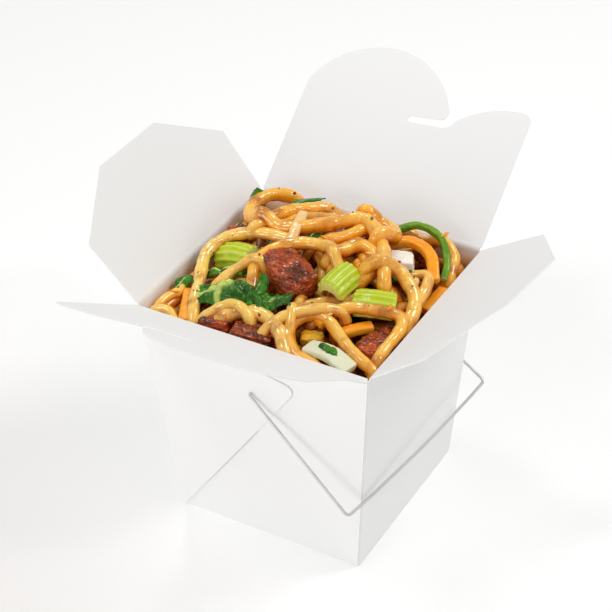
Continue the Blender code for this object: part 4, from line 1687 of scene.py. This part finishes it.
    def build(self) -> list[Piece]:
        """Lay every noodle and make the pieces.

        Returns:
            The bed, and pieces of several noodles each.
        """
        self.fill()
        self.place_noodles()
        made = [self.bed()]
        groups: dict[str, list[Noodle]] = {}
        for i, noodle in enumerate(self.laid):
            placed = noodle.seed >= self.placed_seed
            word = f"noodles_placed_{i % 3}" if placed else f"noodles_filling_{i % 5}"
            groups.setdefault(word, []).append(noodle)
        for word, noodles in sorted(groups.items()):
            verts, faces, tones = [], [], []
            for noodle in noodles:
                shift = len(verts)
                points, cells, tone = noodle.surface()
                verts += [tuple(p) for p in points]
                faces += [tuple(i + shift for i in f) for f in cells]
                tones += list(tone)
            piece = new_piece(word, verts, faces, DOUGH, 80)
            paint_points(piece, "tone", tones)
            # The depth share drives the finish's painted shade on buried noodles.
            paint_points(piece, "depth", self.heap.depths(np.array(verts)))
            made.append(seat(piece, Body.BOX, Slot.NOODLES))
        return made


# ---------------------------------------------------------------- toppings


@dataclass
class Chunk:
    """A lump of food carved from a frame node: remeshed finely, then roughened."""

    node: str
    slot: Slot
    finish: Finish
    grain: Point = (0.35, 1.0, 2.2)
    rough: float = 0.75 * MM
    voxel: float = 0.42 * MM
    fibre: float = 0.42 * MM

    def build(self, nodes: dict) -> Piece:
        """Carve the lump.

        Args:
            nodes: The frame's nodes by name.

        Returns:
            The piece, which stands for its node.
        """
        source = nodes[self.node].data.copy()
        carved = bpy.data.objects.new(f"{self.node}_carving", source)
        bpy.context.scene.collection.objects.link(carved)
        remesh = carved.modifiers.new("remesh", "REMESH")
        remesh.mode, remesh.voxel_size = "VOXEL", self.voxel
        soften = carved.modifiers.new("soften", "SMOOTH")
        soften.iterations, soften.factor = 4, 0.5
        sheet = bpy.data.meshes.new_from_object(carved.evaluated_get(bpy.context.evaluated_depsgraph_get()))
        bpy.data.objects.remove(carved)
        seed = Vector((hash_word(self.node), 0.0, 0.0))
        verts, faces, hollow = [], [tuple(p.vertices) for p in sheet.polygons], []
        for vert in sheet.vertices:
            at = vert.co / MM
            lumps = noise.noise(at * 0.20 + seed) * 1.3 + noise.noise(at * 0.5 + seed) * 0.8
            bent = Vector([a * g for a, g in zip(at, self.grain)]) * 0.75 + seed
            bent += noise.noise_vector(at * 0.15) * 0.7
            strand = noise.noise(bent) + 0.5 * noise.noise(bent * 2.3)
            cracks = -max(0.0, 0.32 - abs(noise.noise(bent * 0.8 - seed))) * 2.2
            push = self.rough * (lumps * 0.6) + self.fibre * (strand + cracks)
            # The hollow mask marks low fibres and cracks for the finish's painted shade.
            hollow.append(min(1.0, max(0.0, -1.1 * strand - 0.9 * cracks - 0.15)))
            verts.append(vert.co + vert.normal * push)
        bpy.data.meshes.remove(sheet)
        made = new_piece(f"{self.node}_piece", verts, faces, self.finish, 80)
        paint_points(made, "hollow", hollow)
        return seat(made, Body.BOX, self.slot, self.node)


def hash_word(word: str) -> float:
    """Return a steady number from a word."""
    return sum((i + 3) * ord(letter) for i, letter in enumerate(word)) % 97 * 1.7


@dataclass
class Stick:
    """A cut length with its own section, swept along a route in a node's box."""

    node: str
    slot: Slot
    finish: Finish
    shares: tuple[Point, ...]
    section: Callable[[], np.ndarray]
    wobble: float = 0.18 * MM
    spacing: float = 0.55 * MM

    def build(self, lids: LidPlanes) -> Piece:
        """Sweep the stick with soft ends and slight unevenness.

        Args:
            lids: The planes it stays under.

        Returns:
            The piece, which stands for its node.
        """
        path = smooth_route(within(self.node, self.shares), self.spacing)
        base = self.section()
        rows = []
        seed = hash_word(self.node)
        for i in range(len(path)):
            end = min(i, len(path) - 1 - i) * self.spacing
            pinch = 1 - 0.16 * max(0.0, 1 - end / (0.8 * MM)) ** 2
            rows.append(base * pinch)
        points, faces = sweep_rings(path, np.array(rows), True)
        verts = []
        for p in points:
            at = Vector(p) / MM
            shifts = (Vector((seed, 0, 0)), Vector((0, seed, 0)), Vector((0, 0, seed)))
            push = Vector([noise.noise(at * 0.5 + shift) for shift in shifts])
            verts.append(Vector(p) + push * self.wobble)
        verts = lids.press(verts)
        made = new_piece(f"{self.node}_piece", verts, faces, self.finish, 55)
        n = len(base)
        mask = [0.85 if i < n or i >= len(verts) - n else 0.0 for i in range(len(verts))]
        if self.finish is RIB:
            mask = np.maximum(mask, np.tile(self.groove(base), len(path)))
        paint_points(made, "rib", mask)
        return seat(made, Body.BOX, self.slot, self.node)

    @staticmethod
    def groove(base: np.ndarray) -> np.ndarray:
        """Rate how pale each point of a ribbed section is, ridges paler than grooves.

        Args:
            base: The section's points.

        Returns:
            A share for each point.
        """
        reach = np.linalg.norm(base - base.mean(axis=0), axis=1)
        smooth = (np.roll(reach, 3) + np.roll(reach, -3)) / 2
        return np.clip((reach - smooth) / (0.30 * MM), 0, 0.4)


def bar_section(width: float, height: float) -> Callable[[], np.ndarray]:
    """Return a maker of a bar's section with rounded corners.

    Args:
        width: The bar's width.
        height: The bar's height.

    Returns:
        The maker.
    """

    def make() -> np.ndarray:
        """Lay out the section's points."""
        turns = np.linspace(0, 2 * math.pi, 24, endpoint=False)
        sizes = ((np.cos(turns), width), (np.sin(turns), height))
        return np.column_stack([np.sign(c) * np.abs(c) ** 0.55 * size / 2 for c, size in sizes])
    return make


def rib_section(width: float, height: float, ridges: int = 7) -> Callable[[], np.ndarray]:
    """Return a maker of a celery rib's section: ridged above, hollowed below.

    Args:
        width: The rib's width.
        height: The rib's height.
        ridges: How many ridges it has.

    Returns:
        The maker.
    """

    def make() -> np.ndarray:
        """Lay out the section's points."""
        turns = np.linspace(-0.12, math.pi + 0.12, 12 * ridges)
        swell = 1 + 0.030 * np.cos(2 * ridges * turns)
        outer = np.column_stack([width / 2 * np.cos(turns) * swell, height * 0.85 * np.sin(turns) * swell])
        back = np.linspace(math.pi + 0.02, -0.02, 16)
        inner = np.column_stack([width * 0.36 * np.cos(back), height * 0.30 * np.sin(back)])
        return np.vstack([outer, inner])
    return make


@dataclass
class LeafBlade:
    """A crumpled cooked leaf with a pale rib along its middle."""

    name: str
    route: tuple[Point, ...]
    width: float
    ruffle: float
    seed: int
    node: str | None = None
    slot: Slot = Slot.LEAF
    finish: Finish = GREEN
    rib: float = 0.10
    rib_until: float = 0.55
    thick: float = 0.42 * MM
    columns: int = 27
    droop: float = 0.25
    crest: float = 0.12
    cross: float = -1.0
    cross_reach: float = 0.055
    cross_rise: float = 0.8 * MM
    spacing: float = 0.6 * MM

    def half_width(self, t: float, phase: float) -> float:
        """Find the blade's half width, with a ragged edge.

        Args:
            t: The place, as a share of the length.
            phase: Where the edge's noise is read, so that the two edges differ.

        Returns:
            The half width.
        """
        body = 0.26 + 0.74 * math.sin(math.pi * min(0.1 + 0.88 * t, 1.0)) ** 0.7
        ragged = 1 + 0.30 * noise.noise(Vector((t * 8, phase, 0.3)))
        ragged += 0.16 * noise.noise(Vector((t * 26, 0.4, phase)))
        return self.width / 2 * body * ragged * min(1.0, (1.02 - t) * 7)

    def folds(self, at: Vector, c: float, veins: float) -> float:
        """Find how far a point stands off the blade in folds.

        Args:
            at: The point, laid flat.
            c: Its place across, -1 to 1.
            veins: The side veins' wave there.

        Returns:
            The distance.
        """
        broad = noise.noise(at * 0.15) * (0.25 + abs(c)) ** 0.8
        fold = abs(noise.noise(at * Vector((0.24, 0.19, 1.0)))) - 0.2
        fine = noise.noise(at * 0.6) * 0.45 + noise.noise(at * 1.3) * 0.25
        return self.ruffle * (2.6 * broad + 3.4 * fold + 0.45 * fine + veins * 0.10)

    def paleness(self, t: float, c: float, veins: float, crossing: float) -> float:
        """Rate how pale a point is, from its ribs.

        Args:
            t: Its place, as a share of the length.
            c: Its place across, -1 to 1.
            veins: The side veins' wave there.
            crossing: How near the crossing rib it is.

        Returns:
            A share from 0 to 1.
        """
        on_rib = max(0.0, 1 - abs(c) / self.rib) if self.rib > 0 else 0.0
        fade = max(0.0, min(1.0, (self.rib_until - t) * 6 + 0.5))
        side_vein = max(0.0, veins - 0.9) * 3 * (1 - abs(c)) * 0.6
        return min(1.0, (on_rib * 1.6) * fade + side_vein * 0.6 + 1.8 * crossing)

    def build(self, lids: LidPlanes) -> Piece:
        """Shape the blade.

        Args:
            lids: The planes it stays under.

        Returns:
            The piece.
        """
        if self.node:
            points = within(self.node, self.route)
        else:
            points = [tuple(c * MM for c in p) for p in self.route]
        path = smooth_route(points, self.spacing)
        _, side, up = travelling_frames(path)
        rows, verts, mask = len(path), [], []
        for i in range(rows):
            t = i / (rows - 1)
            level = Vector(side[i])
            lift = Vector(up[i]) if up[i][2] > 0 else -Vector(up[i])
            for k in range(self.columns):
                c = 2 * k / (self.columns - 1) - 1
                half = self.half_width(t, self.seed + (3.0 if c > 0 else 0.0))
                at = Vector((c * half / MM, t * rows * 0.6, self.seed * 5.1))
                veins = math.sin(t * 34 + abs(c) * 7 + self.seed)
                crossing = max(0.0, 1 - abs(t + 0.04 * c - self.cross) / self.cross_reach)
                rise = self.folds(at, c, veins)
                rise += self.crest * half * (1 - abs(c)) - self.droop * half * c * c
                verts.append(Vector(path[i]) + level * half * c + lift * rise)
                verts[-1] += lift * self.cross_rise * crossing
                mask.append(self.paleness(t, c, veins, crossing))
        n = self.columns
        verts = lids.press(verts)
        lower = [v - Vector(up[i // n]) * self.thick for i, v in enumerate(verts)]
        shift = len(verts)
        faces = []
        for i in range(rows - 1):
            for k in range(n - 1):
                quad = (i * n + k, i * n + k + 1, (i + 1) * n + k + 1, (i + 1) * n + k)
                faces += [quad, tuple(v + shift for v in reversed(quad))]
        rim = list(range(n - 1)) + [i * n + n - 1 for i in range(rows - 1)]
        rim += [(rows - 1) * n + k for k in range(n - 1, 0, -1)] + [i * n for i in range(rows - 1, 0, -1)]
        faces += [(a, b, b + shift, a + shift) for a, b in zip(rim, rim[1:] + rim[:1])]
        made = new_piece(self.name, [*verts, *lower], faces, self.finish, 70)
        paint_points(made, "rib", [*mask, *mask])
        return seat(made, Body.BOX, self.slot, *([self.node] if self.node else []))


@dataclass
class Toppings:
    """Everything that lies on the noodles."""

    nodes: dict
    rim: float
    lids: LidPlanes

    def beef(self) -> list[Piece]:
        """Carve the browned beef."""
        places = ("centre", "front_left", "front", "right", "back_right", "back_left")
        return [Chunk(f"beef_{place}", Slot.BEEF, MEAT).build(self.nodes) for place in places]

    def soft_lumps(self) -> list[Piece]:
        """Carve the onion and the egg.

        Returns:
            The pieces.
        """
        lumps = [Chunk("onion", Slot.PALE, ONION, rough=0.3 * MM, fibre=0.1 * MM)]
        lumps += [Chunk(name, Slot.EGG, CURD, rough=0.5 * MM) for name in ("egg_front", "egg_right")]
        return [lump.build(self.nodes) for lump in lumps]

    def sticks(self) -> list[Piece]:
        """Sweep the celery, carrots and stems.

        Returns:
            The pieces.
        """
        rib, flat = rib_section(12.0 * MM, 8.6 * MM), rib_section(13.0 * MM, 8.0 * MM)
        routes = {
            "celery_centre": (rib, (0.43, 0.09, 0.1), (0.5, 0.52, 0.2), (0.58, 0.95, 0.2)),
            "celery_right": (flat, (0.08, 0.38, 0.05), (0.46, 0.45, 0.2), (0.86, 0.64, 0.05)),
            "celery_left": (flat, (0.13, 0.47, 0.0), (0.55, 0.51, 0.25), (0.98, 0.48, 0.3)),
        }
        made = [Stick(node, Slot.CELERY, RIB, route, section) for node, (section, *route) in routes.items()]
        carrot = bar_section(5.0 * MM, 3.8 * MM)
        routes = {
            "left": ((0.84, 0.05, 0.31), (0.5, 0.5, 0.5), (0.16, 0.95, 0.69)),
            "centre": ((0.04, 0.39, 0.32), (0.34, 0.57, 0.53), (0.66, 0.57, 0.53), (0.95, 0.3, 0.32)),
            "arc": ((0.04, 0.65, 0.68), (0.35, 0.86, 0.78), (0.7, 0.65, 0.63), (0.93, 0.08, 0.16)),
            "right": ((0.36, 0.03, 0.36), (0.53, 0.49, 0.51), (0.53, 0.99, 0.6)),
            "front": ((0.12, 0.11, 0.34), (0.5, 0.5, 0.55), (0.89, 0.9, 0.51)),
        }
        made += [Stick(f"carrot_{word}", Slot.CARROT, ROOT, route, carrot) for word, route in routes.items()]
        made += [
            Stick("stem_front", Slot.PALE, PALE,
                  ((0.03, 0.66, 0.42), (0.5, 0.53, 0.67), (0.95, 0.28, 0.24)),
                  bar_section(8.4 * MM, 3.4 * MM)),
            Stick("sprout_centre", Slot.PALE, SHOOT,
                  ((0.77, 0.03, 0.22), (0.5, 0.5, 0.63), (0.23, 0.98, 0.73)),
                  bar_section(4.4 * MM, 2.6 * MM)),
            Stick("sprout_right", Slot.PALE, SHOOT,
                  ((0.53, 0.05, 0.35), (0.47, 0.95, 0.65)), bar_section(4.2 * MM, 3.2 * MM)),
            Stick("green_stem", Slot.CELERY, STALK,
                  ((0.03, 0.67, 0.81), (0.27, 0.93, 0.88), (0.64, 0.81, 0.72), (0.89, 0.36, 0.39),
                   (0.96, 0.03, 0.08)), bar_section(2.9 * MM, 2.9 * MM)),
        ]
        return [stick.build(self.lids) for stick in made]

    def leaves(self) -> list[Piece]:
        """Shape the leaves that the frame holds, and the small blades beside them.

        Returns:
            The pieces.
        """
        top = self.rim / MM
        blades = [
            LeafBlade("leaf_front_blade", ((0.05, 0.22, 0.40), (0.27, 0.49, 0.78), (0.54, 0.6, 0.95),
                                           (0.8, 0.49, 0.9), (0.96, 0.19, 0.68)),
                      14.5 * MM, 1.25 * MM, 3, "leaf_front", rib=0.22, rib_until=0.30, cross=0.27),
            LeafBlade("leaf_left_blade",
                      ((0.0, 0.47, 0.36), (0.34, 0.49, 0.69), (0.66, 0.58, 0.9), (0.98, 0.76, 0.96)),
                      8.5 * MM, 0.9 * MM, 5, "leaf_left", rib=0.2, rib_until=0.9),
            LeafBlade("leaf_far_left_blade", ((0.28, 0.11, 0.49), (0.49, 0.58, 0.95), (0.92, 0.87, 0.95)),
                      7 * MM, 0.8 * MM, 8, "leaf_far_left"),
            LeafBlade("leaf_corner_blade", ((0.66, 0.12, 0.14), (0.45, 0.59, 0.57), (0.31, 0.93, 0.99)),
                      7.5 * MM, 1.0 * MM, 9, "leaf_corner", rib=0.2, rib_until=0.5),
            LeafBlade("leaf_back_blade",
                      ((0.1, 0.08, 0.36), (0.33, 0.38, 0.69), (0.64, 0.68, 0.89), (0.96, 0.95, 0.98)),
                      6.6 * MM, 0.6 * MM, 12, "leaf_back", rib=0.3, rib_until=0.45),
            LeafBlade("leaf_edge_blade", ((0.42, 0.01, 0.29), (0.5, 0.49, 0.67), (0.75, 0.98, 0.98)),
                      4.8 * MM, 0.5 * MM, 14, "leaf_edge"),
            LeafBlade("cabbage_blade",
                      ((0.01, 0.33, 0.62), (0.38, 0.5, 0.9), (0.72, 0.53, 0.8), (1.0, 0.47, 0.47)),
                      8 * MM, 0.5 * MM, 17, "cabbage_back", Slot.PALE, PALE, rib=0.5, rib_until=0.2),
            LeafBlade("leaf_front_lobe",
                      ((-9, -29, top + 1.5), (-4, -27.0, top + 4.2), (1.0, -24.6, top + 6.0),
                       (4.5, -22.5, top + 7.4)), 8.5 * MM, 1.0 * MM, 23, rib=0.12, rib_until=0.5),
            LeafBlade("leaf_front_spike", ((-13, -26, top + 3.0), (-10.5, -22.5, top + 7.0),
                                           (-9.5, -20.5, top + 11.5)), 6.0 * MM, 0.7 * MM, 27),
            LeafBlade("leaf_edge_stem",
                      ((-47.5, -10, top - 3.5), (-47.2, 8, top - 0.5), (-46.3, 22, top + 1.2)),
                      3.2 * MM, 0.3 * MM, 31, rib=0.5, rib_until=1.0),
            LeafBlade("leaf_middle_back",
                      ((-9, 13, top + 7.5), (-6.5, 17, top + 10.2), (-4.5, 20, top + 10.6)),
                      4.5 * MM, 0.7 * MM, 37),
            LeafBlade("leaf_right_back", ((28, 14, top - 0.5), (33, 13.5, top + 1.4), (38, 16, top + 2.2)),
                      5 * MM, 0.7 * MM, 41),
            LeafBlade("leaf_stem_top", ((25, -37.2, top - 0.4), (29, -38.2, top + 0.2), (34, -40, top - 0.6)),
                      4.2 * MM, 0.5 * MM, 43, rib=0.0, droop=0.05, crest=0.0),
            LeafBlade("leaf_under_loop", ((-30, 26, top + 2), (-24, 30, top + 3.5), (-18, 33, top + 3.5)),
                      7 * MM, 0.9 * MM, 47),
        ]
        return [blade.build(self.lids) for blade in blades]

    def build(self) -> list[Piece]:
        """Make every topping."""
        return [*self.beef(), *self.soft_lumps(), *self.sticks(), *self.leaves()]


@dataclass
class Scraps:
    """Small chopped bits strewn over the heap: greens, carrot shreds, onion slivers and meat crumbs."""

    heap: HeapMap
    wall: float = 4 * MM
    sides: int = 7
    seed: int = 5

    def flakes(self, name: str, count: int, size: Point, finish: Finish, slot: Slot,
               jitter: float) -> Piece:
        """Strew small uneven flakes on the noodles.

        Args:
            name: The piece's name.
            count: How many.
            size: A flake's length, width and thickness.
            finish: Its finish.
            slot: Its material slot.
            jitter: How far sizes vary, as a share.

        Returns:
            One piece holding them all.
        """
        rng = random.Random(self.seed + len(name) * 7 + count)
        verts, faces = [], []
        sides = self.sides
        reach_x, reach_y = self.heap.x[-1] - self.wall, self.heap.y[-1] - self.wall
        for _ in range(count):
            x, y = rng.uniform(-reach_x, reach_x), rng.uniform(-reach_y, reach_y)
            spot = self.heap.cell_of(x, y)
            if self.heap.cover[spot] > self.heap.floor[spot]:
                continue
            z = self.heap.floor[spot]
            scale = 1 + rng.uniform(-jitter, jitter)
            turn = Matrix.Rotation(rng.uniform(0, math.tau), 3, "Z")
            turn = turn @ Matrix.Rotation(rng.uniform(-0.5, 0.5), 3, "X")
            shift = len(verts)
            for level in (-0.5, 0.0, 0.5):
                swell = 1.0 if level == 0 else 0.8
                for k in range(sides):
                    a = math.tau * k / sides
                    r = swell * (1 + rng.uniform(-0.18, 0.18))
                    across, along = size[0] / 2 * math.cos(a) * r, size[1] / 2 * math.sin(a) * r
                    p = Vector((across, along, size[2] * level)) * scale
                    p.z += size[2] * 0.8 * math.sin(a * 2) * 0.4
                    verts.append(turn @ p + Vector((x, y, z + size[2] * 0.2)))
            faces += [tuple(range(shift, shift + sides)), tuple(range(shift + 2 * sides, shift + 3 * sides))]
            faces += band(shift, sides) + band(shift + sides, sides)
        made = new_piece(name, verts, faces, finish, 60)
        return seat(made, Body.BOX, slot)

    def build(self) -> list[Piece]:
        """Strew every kind.

        Returns:
            One piece for each kind.
        """
        return [
            self.flakes("chopped_greens", 46, (1.7 * MM, 1.0 * MM, 0.4 * MM), GREEN, Slot.LEAF, 0.5),
            self.flakes("carrot_shreds", 14, (4.2 * MM, 1.1 * MM, 0.8 * MM), ROOT, Slot.CARROT, 0.4),
            self.flakes("onion_slivers", 8, (3.4 * MM, 1.4 * MM, 0.7 * MM), SHOOT, Slot.PALE, 0.4),
            self.flakes("meat_crumbs", 40, (1.1 * MM, 0.8 * MM, 0.6 * MM), MEAT, Slot.BEEF, 0.5),
        ]


# ---------------------------------------------------------------- studio


@dataclass
class Studio:
    """The pale floor, soft lights and the camera."""

    camera_at: Point = (0.3208, -0.5370, 0.5380)
    right: Point = (0.86731, 0.49673, -0.03209)
    above: Point = (-0.26626, 0.51744, 0.81325)
    behind: Point = (0.42057, -0.69679, 0.58104)
    lens: float = 110.63
    world: float = 0.455
    middle: Point = (0.0, 0.0, 0.09)

    def camera(self) -> None:
        """Set up the camera."""
        data = bpy.data.cameras.new("camera")
        data.lens, data.sensor_width = self.lens, 36.0
        data.clip_start, data.clip_end = 0.05, 20.0
        camera = bpy.data.objects.new("camera", data)
        turn = Matrix((self.right, self.above, self.behind)).transposed()
        camera.matrix_world = Matrix.Translation(self.camera_at) @ turn.to_4x4()
        bpy.context.scene.collection.objects.link(camera)
        bpy.context.scene.camera = camera

    def softbox(self, name: str, at: Point, size: float, power: float,
                tint: Colour = (1.0, 1.0, 1.0)) -> None:
        """Hang a soft square light that points at the studio's middle.

        Args:
            name: Its name.
            at: Where it hangs.
            size: Its side.
            power: Its power in watts.
            tint: Its colour.
        """
        data = bpy.data.lights.new(name, "AREA")
        data.shape, data.size, data.energy, data.color = "SQUARE", size, power, tint
        lamp = bpy.data.objects.new(name, data)
        lamp.location = at
        aim = Vector(self.middle) - Vector(at)
        lamp.rotation_mode = "QUATERNION"
        lamp.rotation_quaternion = aim.to_track_quat("-Z", "Y")
        bpy.context.scene.collection.objects.link(lamp)

    def build(self) -> None:
        """Lay the floor, hang the lights and set the camera."""
        world = bpy.data.worlds.new("studio")
        world.use_nodes = True
        sky = world.node_tree.nodes["Background"].inputs
        sky["Color"].default_value = (1.0, 1.0, 0.995, 1.0)
        sky["Strength"].default_value = self.world
        bpy.context.scene.world = world
        bpy.context.scene.view_settings.view_transform = "Standard"
        reach = 6.0
        corners = [(-reach, -reach, 0), (reach, -reach, 0), (reach, reach, 0), (-reach, reach, 0)]
        floor = new_piece("floor", corners, [(0, 1, 2, 3)], FLOOR)
        self.softbox("key_back_right", (0.62, 0.52, 1.12), 0.50, 5.4, (1.0, 0.99, 0.97))
        self.softbox("fill_front_left", (-0.40, -1.35, 0.22), 0.8, 7.7)
        self.softbox("fill_right", (1.3, -0.45, 0.45), 0.6, 0.7, (1.0, 1.0, 0.985))
        self.softbox("kicker_top", (-0.35, -0.45, 1.05), 0.3, 1.9)
        self.softbox("glint_left", (-0.50, 0.45, 1.05), 0.12, 1.5)
        self.softbox("glint_right", (0.75, -0.15, 0.95), 0.10, 1.0, (1.0, 0.995, 0.98))
        self.camera()


# ---------------------------------------------------------------- order of work


def report(stage: str, pieces: Sequence[Piece]) -> None:
    """Log the pieces of a stage and their triangles.

    Args:
        stage: The stage's name.
        pieces: Its pieces.
    """
    for piece in pieces:
        triangles = sum(len(p.vertices) - 2 for p in piece.data.polygons)
        LOG.info("%s: %s, %d triangles", stage, piece.name, triangles)


def main() -> None:
    """Load the frame, build every sub-assembly and log each piece's triangles."""
    logging.basicConfig(level=logging.INFO, format="%(message)s")
    noise.seed_set(NOISE_SEED)
    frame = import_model()
    nodes = frame["nodes"]
    joints = {joint["name"]: joint for joint in frame["record"]["behaviour"]["joints"]}
    rim = joints["front_flap_fold"]["pos_m"][2]

    tub = Tub(rim=rim)
    report("tub", tub.build())
    x, y = (1.0, 0.0, 0.0), (0.0, 1.0, 0.0)
    minus_x, minus_y = (-1.0, 0.0, 0.0), (0.0, -1.0, 0.0)
    flaps = (
        Flap("front", Body.FRONT_FLAP, "front_flap_fold", FlapShape.HOOKED, minus_x, minus_y, 33.5, 121.5),
        Flap("back", Body.BACK_FLAP, "back_flap_fold", FlapShape.HOOKED, x, y, 39.0, 75.0, curl=-0.8 * MM),
        Flap("left", Body.LEFT_FLAP, "left_flap_fold", FlapShape.SIX_SIDED, y, minus_x, 50.0, 66.0,
             curl=-0.5 * MM),
        Flap("right", Body.RIGHT_FLAP, "right_flap_fold", FlapShape.SIX_SIDED, y, x, 33.5, 108.0, twist=4.6),
    )
    for flap in flaps:
        report("flap", flap.build(joints))
    report("bail", [Bail().build(joints)])

    food = [name for name in nodes if name not in ("tub", "bail", "noodles") and not name.startswith("flap_")]
    heap, lids = HeapMap(nodes, food), LidPlanes(joints, flaps)
    report("heap", NoodleHeap(heap, tub, lids).build())
    report("toppings", Toppings(nodes, rim, lids).build())
    report("scraps", Scraps(heap).build())
    Studio().build()


if __name__ == "__main__":
    main()
